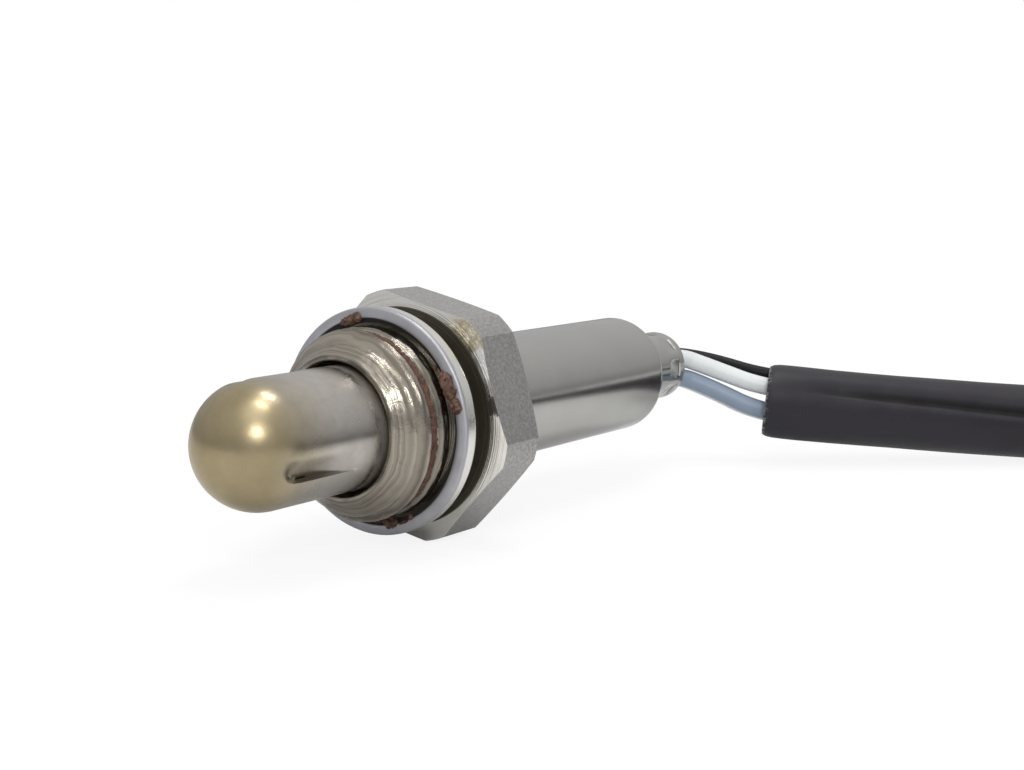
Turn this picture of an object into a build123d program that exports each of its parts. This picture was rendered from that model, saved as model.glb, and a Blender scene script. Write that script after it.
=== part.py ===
from build123d import *
import math
import os

# Four-wire heated zirconia oxygen sensor, in millimetres.
# Frame: the sensor's axis is Y, its tip points to -Y and +Z is up. The origin is on the axis, in the
# hexagon's front face, which is the seat. The sensor lies on an edge of its hexagon.

# ---------------------------------------------------------------- driving dimensions
# thread and hexagon
thread_d = 17.86            # M18 x 1.5, middle of the 6g tolerance
thread_rear_y = -4.0        # last full thread towards the seat
rim_y = -9.3                # front rim of the shell
rim_flat_w = 0.45           # flat left on the front rim
thread_pitch = 1.5
thread_depth = 0.73
thread_root_w = 0.3
thread_groove_y = -5.03     # middle of the groove nearest the gasket
thread_groove_count = 2
neck_depth = 0.83           # relief neck under the gasket, below the crests
hex_af = 22.0               # across flats
hex_corner_trim = 0.6       # turned off each sharp corner
hex_length = 6.0
hex_face_inset = 0.6        # turned face at each end, inside the flats
hex_chamfer_length = 0.5
hex_chamfer_bulge = 0.03    # the turned corners are slightly round
hex_turn_deg = 16.9         # a flat's normal, from +X towards +Z

# protective tubes
tube_d = 11.46
tube_wall = 0.5
tube_tip_y = -24.84
shroud_gap = 0.465          # radial, from the tube to the shell's front recess
recess_y = -4.6             # bottom of that recess
spigot_recess = 1.2         # spigot's front behind the rim
tube_clearance = 0.08       # from the pressed-in louvres to the inner tube
inner_tube_wall = 0.4
inner_tube_tip_y = -20.2
inner_tube_seat_y = -5.2
inner_hole_d = 1.2
inner_hole_y = -15.5
inner_hole_count = 6
louvre_count = 3
louvre_first_deg = -18.0    # middle of the first louvre, from +X towards +Z
louvre_front_y = -21.0
louvre_rear_y = -11.7
louvre_width = 1.8
louvre_depth = 0.85
louvre_run_out = 2.6        # the louvre rises back to the wall over this length

# gasket
gasket_gap = 0.27           # radial, round the thread's crests
gasket_width = 1.45         # from bore to outer edge
gasket_thick = 1.8
gasket_mid_y = -3.5
gasket_tilt_deg = 2.2
gasket_edge_r = 0.55

# ceramic element and its packing
element_d = 5.8
element_wall = 1.25
element_tip_y = -18.2
element_rear_y = 22.5
element_rear_d = 6.6
shoulder_gap = 0.4          # radial, from the element's shoulder to the shell's bore
shoulder_front_y = 1.0
shoulder_length = 4.0
seal_washer_thick = 0.5
shell_inner_d = 10.0
shell_front_bore_d = 6.8
talc_length = 3.4
bush_length = 3.8
crimp_ring_thick = 0.8
crimp_lip_length = 0.9
crimp_lip_bore_d = 8.0

# heater and contacts
heater_d = 2.6
heater_front_gap = 0.6      # between the heater's tip and the thimble's end
heater_rear_y = 29.3
strip_thick = 0.3
strip_width = 1.1
wire_pitch_r = 1.65         # wires and crimp barrels lie on this circle
wire_first_deg = 45.0       # first wire, from +X towards +Z
barrel_d = 1.9
barrel_front_y = 31.2
barrel_rear_y = 37.1
barrel_floor = 0.4
conductor_d = 1.1
signal_cup_length = 6.0
ground_ring_length = 3.6
heater_pad_length = 3.2
heater_pad_width = 1.4

# casing, carrier, spring and grommet
casing_d = 12.78
casing_wall = 0.5
casing_shoulder_y = 39.3
shoulder_edge_r = 1.6
boss_d = 7.9
boss_rear_y = 48.4
boss_blend_r = 0.8
boss_edge_r = 1.1
crimp_front_y = 44.3
crimp_width = 2.2
crimp_flat_count = 8
crimp_depth = 0.2
carrier_d = 11.0
carrier_front_y = 24.4
carrier_rear_y = 37.0
carrier_pocket_d = 7.9
carrier_pocket_length = 3.4
spring_thick = 0.4
spring_bore_d = 6.2
spring_rim_d = 9.6
grommet_front_y = 40.2

# lead
heater_wire_d = 2.1
ground_wire_d = 2.1
signal_wire_d = 1.6
lead_d = 8.8
lead_wall = 0.45
mouth_depth = 7.5           # wires inside each end of the sleeve
wire_short_run = 1.3        # straight behind the boss
wire_long_run = 2.6
lead_start_x = 10.43
lead_start_y = 56.03
lead_start_z = -4.37
lead_slope_x = 23.6         # first run, down to the floor
lead_slope_y = 17.5
lead_heading_deg = 35.0     # second run, from +X towards +Y
lead_second_run = 48.0
coil_r = 51.0               # first half turn
coil_arc_deg = 180.0        # each arc of the spiral
coil_turn_gap = 2.0
coil_end_run = 9.0
tie_width = 4.8
tie_thick = 1.2
tie_squeeze = 0.7           # each side of the sleeve under the tie
tie_turn_deg = 430.0        # along the coil
tie_head = 5.4
tie_head_height = 3.2

# plug
plug_pitch = 5.0            # between blades, both ways
plug_width = 19.0
plug_height = 17.0
plug_length = 36.0
plug_wall = 1.4
plug_corner_r = 2.0
plug_rear_inset = 22.0      # plug's rear face from the sleeve's end, along X
plug_offset = 15.0          # plug's axis from the sleeve's end, along Y
mouth_spread = 1.35         # wires' offset in the sleeve's end, both ways
shroud_depth = 16.6
blade_barrel_gap = 0.6      # from the wire seal to the blade's barrel
blade_barrel_length = 4.0
blade_body = 2.0
blade_bore_d = 3.0          # the housing's hole round it
blade_width = 1.5
blade_thick = 0.8
blade_stand = 9.0           # blade standing free in the shroud
seal_d = 4.0
seal_length = 5.0
cap_length = 2.4
cap_clearance = 0.25        # round the wires in the rear cap
retainer_thick = 1.6
latch_width = 6.0
latch_length = 7.0
latch_height = 1.8
latch_setback = 3.0
rib_width = 1.2
rib_height = 0.8

# clearances
slip = 0.03                 # radial, between pieces that fit together

# ---------------------------------------------------------------- worked out from them
thread_r = thread_d / 2
tube_r = tube_d / 2
inner_tube_r = tube_r - tube_wall - louvre_depth - tube_clearance
casing_r = casing_d / 2
boss_r = boss_d / 2
neck_r = thread_r - neck_depth
gasket_bore_r = thread_r + gasket_gap
gasket_r = gasket_bore_r + gasket_width
rim_r = tube_r + shroud_gap
casing_inner_r = casing_r - casing_wall
boss_inner_r = boss_r - casing_wall
collar_r = casing_inner_r - slip
spigot_front_y = rim_y + spigot_recess
shoulder_rear_y = shoulder_front_y + shoulder_length
talc_rear_y = shoulder_rear_y + talc_length
bush_rear_y = talc_rear_y + bush_length
crimp_ring_rear_y = bush_rear_y + crimp_ring_thick
collar_rear_y = crimp_ring_rear_y + crimp_lip_length
shoulder_r = shell_inner_d / 2 - shoulder_gap
packing_inner_r = element_rear_d / 2 + slip
packing_outer_r = shell_inner_d / 2 - slip
element_bore_r = element_d / 2 - element_wall
heater_r = heater_d / 2
strip_inner_r = heater_r + slip
carrier_pocket_y = carrier_front_y + carrier_pocket_length
lead_r = lead_d / 2
hex_r = hex_af / 2
hex_face_r = hex_r - hex_face_inset
hex_corner_r = hex_r / math.cos(math.radians(30)) - hex_corner_trim
# the floor touches the edge between a turned corner and a flat, under the axis
corner_half_deg = 30 - math.degrees(math.acos(hex_r / hex_corner_r))
lowest_deg = hex_turn_deg + 30 - 120 - corner_half_deg
floor_z = hex_corner_r * math.sin(math.radians(lowest_deg))
lead_z = floor_z + lead_r
coil_step = (lead_d + coil_turn_gap) / 2
coil_turn_deg = 450 + lead_heading_deg      # leaves the sleeve's end pointing to -Y
plug_z = floor_z + plug_height / 2
barrel_bore_d = conductor_d + 2 * slip
shroud_floor = plug_length - shroud_depth
blade_barrel_start = cap_length + seal_length + blade_barrel_gap

# name: angle round the axis, diameter, straight run behind the boss, next corner as shares of the way
# to the sleeve's start, place in the sleeve's mouth (up, aside) as shares of its inner radius
wires = {
    "white_wire_1": (wire_first_deg, heater_wire_d, wire_short_run, (0.431, 0.524, 0.092), (0.354, 0.304)),
    "white_wire_2": (wire_first_deg + 180, heater_wire_d, wire_long_run, (0.278, 0.852, 0.755),
                     (-0.532, -0.456)),
    "grey_wire": (wire_first_deg - 90, ground_wire_d, wire_short_run, (0.451, 0.472, 0.618), (-0.405, 0.354)),
    "black_wire": (wire_first_deg + 90, signal_wire_d, wire_long_run, (0.307, 0.852, -0.069),
                   (0.709, -0.127)),
}

# name: wire, side of the bend (1 is outside), row (1 is upper)
plug_ends = {
    "plug_white_wire_1": ("white_wire_1", 1, 1),
    "plug_white_wire_2": ("white_wire_2", 1, -1),
    "plug_grey_wire": ("grey_wire", -1, -1),
    "plug_black_wire": ("black_wire", -1, 1),
}


def at_angle(radius, degrees):
    """X and Z of a point round the sensor's axis."""
    return radius * math.cos(math.radians(degrees)), radius * math.sin(math.radians(degrees))


def across(y):
    """The plane across the sensor's axis at y, with X and Z as its own directions."""
    return Plane(origin=(0, y, 0), x_dir=(1, 0, 0), z_dir=(0, -1, 0))


def along(sketch, front_y, rear_y):
    """A sketch in X and Z, extruded along the sensor's axis."""
    return extrude(across(front_y) * sketch, -(rear_y - front_y))


def turned(outline):
    """A solid turned round the sensor's axis from a closed outline in (radius, y)."""
    return revolve(make_face(outline), Axis.Y)


def turned_points(*points):
    return turned(Polyline(*points, close=True))


def ring(outer_r, inner_r, front_y, rear_y):
    """A plain ring round the sensor's axis."""
    return turned_points((inner_r, front_y), (outer_r, front_y), (outer_r, rear_y), (inner_r, rear_y))


def disc(radius, front_y, rear_y, x=0.0, z=0.0):
    """A round bar parallel to the sensor's axis."""
    return along(Pos(x, z) * Circle(radius), front_y, rear_y)


def thread_groove(middle_y):
    """One turn of the thread as a plain ring with 60 degree flanks."""
    root_r, top_r = thread_r - thread_depth, thread_r + slip
    half_root = thread_root_w / 2
    half_top = half_root + (top_r - root_r) * math.tan(math.radians(30))
    return turned_points((root_r, middle_y - half_root), (top_r, middle_y - half_top),
                         (top_r, middle_y + half_top), (root_r, middle_y + half_root))


def hexagon_bar():
    """The hexagon with its corners turned off round at both ends."""
    sharp_r = hex_r / math.cos(math.radians(30))
    corners = [at_angle(sharp_r, hex_turn_deg + 30 + 60 * k) for k in range(6)]
    bar = along(make_face(Polyline(*corners, close=True)), 0, hex_length)
    front, rear = (hex_corner_r, hex_chamfer_length), (hex_corner_r, hex_length - hex_chamfer_length)
    bore_r = shell_inner_d / 2
    outline = [
        Polyline((hex_face_r, 0), (bore_r, 0), (bore_r, hex_length), (hex_face_r, hex_length)),
        SagittaArc((hex_face_r, 0), front, -hex_chamfer_bulge),
        Line(front, rear),
        SagittaArc(rear, (hex_face_r, hex_length), -hex_chamfer_bulge),
    ]
    return bar & turned(outline)


def sensor_shell():
    """Thread, relief neck, hexagon with turned corners, rear collar with its crimped lip."""
    lead_in = thread_r - rim_r - rim_flat_w
    spigot_r = tube_r - tube_wall - slip
    lip_r = crimp_lip_bore_d / 2
    bore_r = shell_inner_d / 2
    front_bore_r = shell_front_bore_d / 2
    ledge_y = shoulder_front_y - seal_washer_thick
    inner_seat_r = inner_tube_r + slip
    outside = turned_points(
        (front_bore_r, inner_tube_seat_y),
        (inner_seat_r, inner_tube_seat_y),
        (inner_seat_r, spigot_front_y),
        (spigot_r, spigot_front_y),
        (spigot_r, recess_y),
        (rim_r, recess_y),
        (rim_r, rim_y),
        (rim_r + rim_flat_w, rim_y),
        (thread_r, rim_y + lead_in),
        (thread_r, thread_rear_y),
        (neck_r, thread_rear_y + thread_r - neck_r),
        (neck_r, 0),
        (neck_r, hex_length),
        (collar_r, hex_length),
        (collar_r, collar_rear_y),
        (lip_r, collar_rear_y),
        (lip_r, crimp_ring_rear_y),
        (bore_r, crimp_ring_rear_y),
        (bore_r, ledge_y),
        (front_bore_r, ledge_y),
    )
    for k in range(thread_groove_count):
        outside -= thread_groove(thread_groove_y - k * thread_pitch)
    return outside + hexagon_bar()


def tube_outline(radius, wall, tip_y, rear_y):
    """Half section of a tube with a round end at its tip."""
    centre_y = tip_y + radius
    inner_r = radius - wall
    return [
        CenterArc((0, centre_y), radius, -90, 90),
        Line((radius, centre_y), (radius, rear_y)),
        Line((radius, rear_y), (inner_r, rear_y)),
        Line((inner_r, rear_y), (inner_r, centre_y)),
        CenterArc((0, centre_y), inner_r, -90, 90),
        Line((0, tip_y), (0, tip_y + wall)),
    ]


def louvre_pocket():
    """Everything above a louvre's slanted face, at angle 0, with the hinge in the tube's skin."""
    half = louvre_width / 2
    hinge_x = math.sqrt(tube_r**2 - half**2)
    top_x = tube_r + tube_wall
    sections = []
    for y, depth in (
        (louvre_front_y, louvre_depth),
        (louvre_rear_y - louvre_run_out, louvre_depth),
        (louvre_rear_y, 0.0),
    ):
        points = [(top_x, half), (hinge_x, half), (hinge_x - depth, -half), (top_x, -half)]
        sections.append(across(y) * make_face(Polyline(*points, close=True)))
    return loft(sections, ruled=True)


def louvre_plan():
    """The louvre's plan, round at its front end, as a block through the wall."""
    half = louvre_width / 2
    length = louvre_rear_y - louvre_front_y - half
    middle_y = louvre_rear_y - length / 2
    plan = Pos(middle_y, 0) * Rectangle(length, louvre_width) + Pos(louvre_front_y + half, 0) * Circle(half)
    return extrude(Plane.YZ.offset(tube_r / 2) * plan, tube_r)


def outer_protective_tube():
    """Drawn tube with a round end and pressed-in louvres, hinged along one edge and open at the other."""
    tube = turned(tube_outline(tube_r, tube_wall, tube_tip_y, recess_y))
    plan = louvre_plan()
    pocket = louvre_pocket() & plan
    flap = (Pos(-tube_wall, 0, 0) * louvre_pocket() & plan) - pocket
    for k in range(louvre_count):
        turn = Rotation(0, -(louvre_first_deg + 360 / louvre_count * k), 0)
        tube = tube - turn * pocket + turn * flap
    return tube


def inner_protective_tube():
    """Perforated tube round the element, with a flat end."""
    inner_r = inner_tube_r - inner_tube_wall
    tube = turned_points(
        (0, inner_tube_tip_y),
        (inner_tube_r, inner_tube_tip_y),
        (inner_tube_r, inner_tube_seat_y),
        (inner_r, inner_tube_seat_y),
        (inner_r, inner_tube_tip_y + inner_tube_wall),
        (0, inner_tube_tip_y + inner_tube_wall),
    )
    hole = extrude(Pos(0, inner_hole_y, 0) * Circle(inner_hole_d / 2), 2 * inner_tube_r)
    for k in range(inner_hole_count):
        tube -= Rotation(0, 360 / inner_hole_count * k, 0) * hole
    return tube


def captive_gasket():
    """Crushed ring with rounded edges, loose and slightly askew at the end of the thread."""
    section = Pos((gasket_r + gasket_bore_r) / 2, 0) * Rectangle(gasket_width, gasket_thick)
    section = fillet(section.vertices(), gasket_edge_r)
    return Pos(0, gasket_mid_y, 0) * Rotation(0, 0, gasket_tilt_deg) * revolve(section, Axis.Y)


def zirconia_element():
    """Closed ceramic thimble with a shoulder that seals it in the shell."""
    shank_r, rear_r = element_d / 2, element_rear_d / 2
    centre_y = element_tip_y + shank_r
    outline = [
        CenterArc((0, centre_y), shank_r, -90, 90),
        Polyline((shank_r, centre_y), (shank_r, shoulder_front_y), (shoulder_r, shoulder_front_y),
                 (shoulder_r, shoulder_rear_y), (rear_r, shoulder_rear_y), (rear_r, element_rear_y),
                 (element_bore_r, element_rear_y), (element_bore_r, centre_y)),
        CenterArc((0, centre_y), element_bore_r, -90, 90),
        Line((0, element_tip_y), (0, element_tip_y + element_wall)),
    ]
    return turned(outline)


def element_seal_washer():
    front_y = shoulder_front_y - seal_washer_thick
    return ring(shoulder_r, shell_front_bore_d / 2, front_y, shoulder_front_y)


def talc_packing():
    return ring(packing_outer_r, packing_inner_r, shoulder_rear_y, talc_rear_y)


def ceramic_bush():
    return ring(packing_outer_r, packing_inner_r, talc_rear_y, bush_rear_y)


def crimp_ring():
    return ring(packing_outer_r, packing_inner_r, bush_rear_y, crimp_ring_rear_y)


def heater_rod():
    """Round ceramic heater with a coned tip."""
    front_y = element_tip_y + element_wall + heater_front_gap
    cone = heater_r / 2
    return turned_points((0, front_y), (heater_r - cone, front_y), (heater_r, front_y + cone),
                         (heater_r, heater_rear_y), (0, heater_rear_y))


def strip(degrees, front_y):
    """Contact strip beside the heater, back to its barrel."""
    bar = Pos(strip_inner_r + strip_thick / 2, 0) * Rectangle(strip_thick, strip_width)
    return Rotation(0, -degrees, 0) * along(bar, front_y, barrel_front_y)


def crimp_barrel(degrees):
    """Closed-front barrel that is crimped on a conductor."""
    x, z = at_angle(wire_pitch_r, degrees)
    bore = disc(barrel_bore_d / 2, barrel_front_y + barrel_floor, barrel_rear_y, x, z)
    return disc(barrel_d / 2, barrel_front_y, barrel_rear_y, x, z) - bore


def signal_contact(degrees):
    """Cup between heater and thimble, with a strip back to its barrel."""
    front_y = element_rear_y - signal_cup_length
    tail_y = element_rear_y + slip
    cup = ring(element_bore_r - slip, strip_inner_r, front_y, tail_y + strip_thick)
    return cup + strip(degrees, tail_y) + crimp_barrel(degrees)


def ground_contact(degrees):
    """Ring round the thimble's rear end, with a strip that slants in to its barrel."""
    inner_r = element_rear_d / 2 + slip
    outer_r = inner_r + strip_thick
    front_y = element_rear_y - ground_ring_length
    foot_inner_r = wire_pitch_r + barrel_d / 4
    foot_outer_r = foot_inner_r + strip_thick
    slant = Polyline((inner_r, front_y + strip_width), (outer_r, front_y + strip_width),
                     (outer_r, element_rear_y), (foot_outer_r, carrier_pocket_y),
                     (foot_outer_r, barrel_front_y), (foot_inner_r, barrel_front_y),
                     (foot_inner_r, carrier_pocket_y), (inner_r, element_rear_y), close=True)
    tail = Rotation(0, -degrees, 0) * extrude(make_face(slant), strip_width / 2, both=True)
    return ring(outer_r, inner_r, front_y, element_rear_y) + tail + crimp_barrel(degrees)


def heater_contact(degrees):
    """Curved pad on the heater, with a strip back to its barrel."""
    pad_front_y = heater_rear_y - heater_pad_length
    shell = ring(strip_inner_r + strip_thick, strip_inner_r, pad_front_y, heater_rear_y)
    side = Pos(heater_r, 0) * Rectangle(heater_r, heater_pad_width)
    pad = shell & (Rotation(0, -degrees, 0) * along(side, pad_front_y, heater_rear_y))
    return pad + strip(degrees, pad_front_y) + crimp_barrel(degrees)


def ceramic_carrier():
    """Insulator with a front pocket over the thimble's end and a hole for each barrel."""
    body = disc(carrier_d / 2, carrier_front_y, carrier_rear_y)
    body -= disc(carrier_pocket_d / 2, carrier_front_y, carrier_pocket_y)
    body -= disc(strip_inner_r, carrier_pocket_y, heater_rear_y + slip)
    for degrees, *_ in wires.values():
        x, z = at_angle(wire_pitch_r, degrees)
        body -= disc(barrel_d / 2 + slip, carrier_pocket_y, carrier_rear_y, x, z)
    return body


def carrier_spring():
    """Conical spring washer between the carrier and the casing's shoulder."""
    inner_r, rim = spring_bore_d / 2, spring_rim_d / 2
    rear_y = casing_shoulder_y - casing_wall - slip
    front_y = carrier_rear_y + slip
    return turned_points((inner_r, front_y), (inner_r + spring_thick, front_y), (rim, rear_y - spring_thick),
                         (rim, rear_y), (rim - spring_thick, rear_y), (inner_r, front_y + spring_thick))


def casing_outline(offset):
    """The casing's outside, moved inwards by offset, from the hexagon to the boss's rolled end."""
    big_r, small_r = casing_r - offset, boss_r - offset
    edge_r, blend_r, end_r = shoulder_edge_r - offset, boss_blend_r + offset, boss_edge_r - offset
    face_y = casing_shoulder_y - offset
    end_y = boss_rear_y - offset
    blend_x = small_r + blend_r
    return [
        Line((big_r, hex_length), (big_r, face_y - edge_r)),
        CenterArc((big_r - edge_r, face_y - edge_r), edge_r, 0, 90),
        Line((big_r - edge_r, face_y), (blend_x, face_y)),
        CenterArc((blend_x, face_y + blend_r), blend_r, 180, 90),
        Line((small_r, face_y + blend_r), (small_r, end_y - end_r)),
        CenterArc((small_r - end_r, end_y - end_r), end_r, 0, 90),
    ]


def casing_sleeve():
    """Drawn casing: tube, rounded shoulder, and a boss crimped with flats and rolled in at its end."""
    outer, inner = casing_outline(0), casing_outline(casing_wall)
    mouth_r = boss_r - boss_edge_r
    ends = [
        Line((casing_r, hex_length), (casing_inner_r, hex_length)),
        Line((mouth_r, boss_rear_y), (mouth_r, boss_rear_y - casing_wall)),
    ]
    casing = turned(outer + inner + ends)
    flats = RegularPolygon(boss_r - crimp_depth, crimp_flat_count, major_radius=False)
    band = Circle(boss_r + 1) - flats
    return casing - along(band, crimp_front_y, crimp_front_y + crimp_width)


def wire_hole(name, front_y, rear_y):
    degrees, diameter, *_ = wires[name]
    x, z = at_angle(wire_pitch_r, degrees)
    return disc(diameter / 2 + slip, front_y, rear_y, x, z)


def wire_grommet():
    """Seal in the boss, with a hole for each wire."""
    radius = boss_inner_r - slip
    front_y = grommet_front_y
    rear_y = boss_rear_y - casing_wall - slip
    end_r = boss_edge_r
    body = turned([
        Polyline((0, front_y), (radius, front_y), (radius, rear_y - end_r), (radius - end_r, rear_y),
                 (0, rear_y), close=True)
    ])
    for name in wires:
        body -= wire_hole(name, front_y, rear_y)
    return body


def corner_radii(points):
    """For each corner: 0.45 of the shorter run, over the tangent of half the turn."""
    radii = []
    for before, corner, after in zip(points, points[1:], points[2:]):
        half_turn = math.radians((corner - before).get_angle(after - corner)) / 2
        shorter = min((corner - before).length, (after - corner).length)
        radii.append(0.45 * shorter / math.tan(half_turn))
    return radii


def cord_tube(name, points, diameter):
    """Round tube along straight runs joined by tangent arcs."""
    points = [Vector(*p) for p in points]
    radii = corner_radii(points)
    path = FilletPolyline(*points, radius=radii)
    section = Plane(origin=path @ 0, z_dir=path % 0) * Circle(diameter / 2)
    tube = sweep(section, path=path)
    expected = path.length * math.pi * diameter**2 / 4
    print(f"{name}: length {path.length:.1f}, radii {[round(r, 1) for r in radii]}, "
          f"volume {tube.volume / expected:.4f} of section times length")
    return tube


lead_1 = Vector(lead_start_x, lead_start_y, lead_start_z)
lead_2 = Vector(lead_start_x + lead_slope_x, lead_start_y + lead_slope_y, lead_z)
lead_heading = Vector(math.cos(math.radians(lead_heading_deg)), math.sin(math.radians(lead_heading_deg)), 0)
lead_3 = lead_2 + lead_heading * lead_second_run
lead_axis = (lead_2 - lead_1).normalized()
aside = lead_axis.cross(Vector(0, 0, 1)).normalized()
upward = aside.cross(lead_axis)


def sensor_wire(name):
    """Wire from its crimp barrel through the grommet into the sleeve's mouth."""
    degrees, diameter, run, share, (up, side) = wires[name]
    x, z = at_angle(wire_pitch_r, degrees)
    corner = (lead_start_x * share[0], boss_rear_y + (lead_start_y - boss_rear_y) * share[1],
              lead_start_z * share[2])
    mouth = lead_1 + (upward * up + aside * side) * (lead_r - lead_wall)
    end = mouth + lead_axis * mouth_depth
    points = [(x, barrel_rear_y, z), (x, boss_rear_y + run, z), corner, tuple(mouth), tuple(end)]
    tube = cord_tube(name, points, diameter)
    return tube + disc(conductor_d / 2, barrel_front_y + barrel_floor, barrel_rear_y, x, z)


def mouth_bore(start, direction):
    """The sleeve's hollow at one of its ends."""
    return extrude(Plane(origin=start, z_dir=direction) * Circle(lead_r - lead_wall), mouth_depth)


def lead_sleeve():
    """Sleeve from the wires to the coil, hollow where the wires enter."""
    tube = cord_tube("lead_sleeve", [tuple(lead_1), tuple(lead_2), tuple(lead_3)], lead_d)
    return tube - mouth_bore(lead_1, lead_axis)


def coil_path():
    """Flat inward spiral of half turns, each smaller than the last, with a straight end."""
    start, heading = lead_3, lead_heading
    left_deg = coil_turn_deg
    radius = coil_r
    arcs = []
    while left_deg > 0:
        size = min(coil_arc_deg, left_deg)
        arc = JernArc((start.X, start.Y), (heading.X, heading.Y), radius, -size)
        arcs.append(arc)
        start, heading = arc @ 1, arc % 1
        left_deg -= size
        radius -= coil_step
    arcs.append(Line(start, start + heading * coil_end_run))
    return Pos(0, 0, lead_z) * Wire([edge for arc in arcs for edge in arc.edges()])


coil_line = coil_path()
coil_end, coil_end_heading = coil_line @ 1, coil_line % 1


def tie_section():
    """The tie's loop round two turns side by side, in a plane whose origin is between their axes."""
    proud = tie_thick - tie_squeeze
    width = 2 * lead_d + coil_turn_gap + 2 * proud
    height = lead_d + proud
    corner = lead_r
    loop = RectangleRounded(width, height, corner)
    loop -= RectangleRounded(width - 2 * tie_thick, height - 2 * tie_thick, corner - tie_thick)
    head = Pos(width / 2 + tie_head_height / 2 - tie_thick / 2, 0) * Rectangle(tie_head_height, tie_head)
    return Pos(0, proud / 2) * (loop + head)


def coil_tie():
    """Cable tie round the coil where its last turn lies beside its first."""
    centre = lead_3 + Vector(lead_heading.Y, -lead_heading.X, 0) * coil_r
    angle = math.radians(lead_heading_deg + 90 - tie_turn_deg)
    out = Vector(math.cos(angle), math.sin(angle), 0)
    middle = centre + out * (coil_r - coil_step)
    place = Plane(origin=middle, x_dir=out, z_dir=out.cross(Vector(0, 0, 1)))
    return extrude(place * tie_section(), tie_width / 2, both=True)


def lead_coil():
    """The wound sleeve, pinched by its tie and hollow at its end."""
    section = Plane(origin=coil_line @ 0, z_dir=coil_line % 0) * Circle(lead_r)
    tube = sweep(section, path=coil_line)
    expected = coil_line.length * math.pi * lead_r**2
    print(f"lead_coil: length {coil_line.length:.1f}, "
          f"volume {tube.volume / expected:.4f} of section times length")
    return tube - mouth_bore(coil_end, coil_end_heading * -1) - coil_tie()


plug_rear = (coil_end.X - plug_rear_inset, coil_end.Y - plug_offset, plug_z)
plug_plane = Plane(origin=plug_rear, x_dir=(0, -1, 0), z_dir=(-1, 0, 0))


def in_plug(sketch, start, end):
    """A sketch across the plug, extruded from its rear face towards its mating face."""
    return extrude(plug_plane.offset(start) * sketch, end - start)


def blade_places():
    half = plug_pitch / 2
    return [(side * half, row * half) for side in (1, -1) for row in (1, -1)]


def at_blades(sketch):
    """A copy of a sketch at each of the four ways."""
    return [Pos(x, y) * sketch for x, y in blade_places()]


def plug_housing():
    """Shrouded four-way housing with a latch ramp on top and a guide rib at each side."""
    inner_w, inner_h = plug_width - 2 * plug_wall, plug_height - 2 * plug_wall
    inner = RectangleRounded(inner_w, inner_h, plug_corner_r - plug_wall / 2)
    body = in_plug(RectangleRounded(plug_width, plug_height, plug_corner_r), 0, plug_length)
    body -= in_plug(inner, 0, cap_length)
    body -= in_plug(inner, shroud_floor, plug_length)
    for pocket in at_blades(Circle(seal_d / 2 + slip)):
        body -= in_plug(pocket, cap_length, blade_barrel_start)
    for bore in at_blades(Circle(blade_bore_d / 2)):
        body -= in_plug(bore, blade_barrel_start, shroud_floor)
    ramp_end = plug_length - latch_setback
    ramp_start = ramp_end - latch_length
    base, top = plug_height / 2, plug_height / 2 + latch_height
    ramp = Polyline((base, ramp_start), (top, ramp_start), (top, ramp_end - latch_length / 2),
                    (base, ramp_end), close=True)
    ramp_plane = Plane(origin=plug_plane.origin, x_dir=(0, 0, 1), z_dir=(0, -1, 0))
    body += extrude(ramp_plane * make_face(ramp), latch_width / 2, both=True)
    for side in (1, -1):
        rib = Pos(side * (plug_width / 2 + rib_height / 2), 0) * Rectangle(rib_height, rib_width)
        body += in_plug(rib, shroud_floor, plug_length)
    return body


def plug_blades():
    """Blade terminals: crimp barrel, square body, flat blade."""
    body_start = blade_barrel_start + blade_barrel_length
    blade_end = shroud_floor + retainer_thick + blade_stand
    blades = []
    for x, y in blade_places():
        place = Pos(x, y)
        blade = in_plug(place * Circle(blade_body / 2), blade_barrel_start, body_start)
        blade -= in_plug(place * Circle(barrel_bore_d / 2), blade_barrel_start, body_start - barrel_floor)
        blade += in_plug(place * Rectangle(blade_body, blade_body), body_start, shroud_floor)
        blade += in_plug(place * Rectangle(blade_width, blade_thick), shroud_floor, blade_end)
        blades.append(blade)
    return blades


def plug_wire_seals():
    """One ribbed seal round each wire, behind its blade."""
    seals = []
    half = plug_pitch / 2
    for wire, side, row in plug_ends.values():
        wire_d = wires[wire][1] + 2 * slip
        seal = Pos(side * half, row * half) * (Circle(seal_d / 2) - Circle(wire_d / 2))
        seals.append(in_plug(seal, cap_length, cap_length + seal_length))
    return seals


def plug_plate():
    """Outline of a plate that fits in the housing."""
    less = 2 * (plug_wall + slip)
    return RectangleRounded(plug_width - less, plug_height - less, plug_corner_r - plug_wall / 2)


def plug_retainer():
    """Secondary lock on the shroud's floor, with a slot for each blade."""
    body = in_plug(plug_plate(), shroud_floor, shroud_floor + retainer_thick)
    for slot in at_blades(Rectangle(blade_width + 2 * slip, blade_thick + 2 * slip)):
        body -= in_plug(slot, shroud_floor, shroud_floor + retainer_thick)
    return body


def plug_end_cap():
    """Rear cap over the wire seals."""
    body = in_plug(plug_plate(), 0, cap_length)
    for hole in at_blades(Circle(heater_wire_d / 2 + cap_clearance)):
        body -= in_plug(hole, 0, cap_length)
    return body


# corners from the sleeve's end, as shares of the plug's inset and offset, and the direction towards the
# bend's outer side
plug_route = ((0, 0.2, 0), (0.173, 0.733, -40), (0.532, 1, -90))


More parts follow.
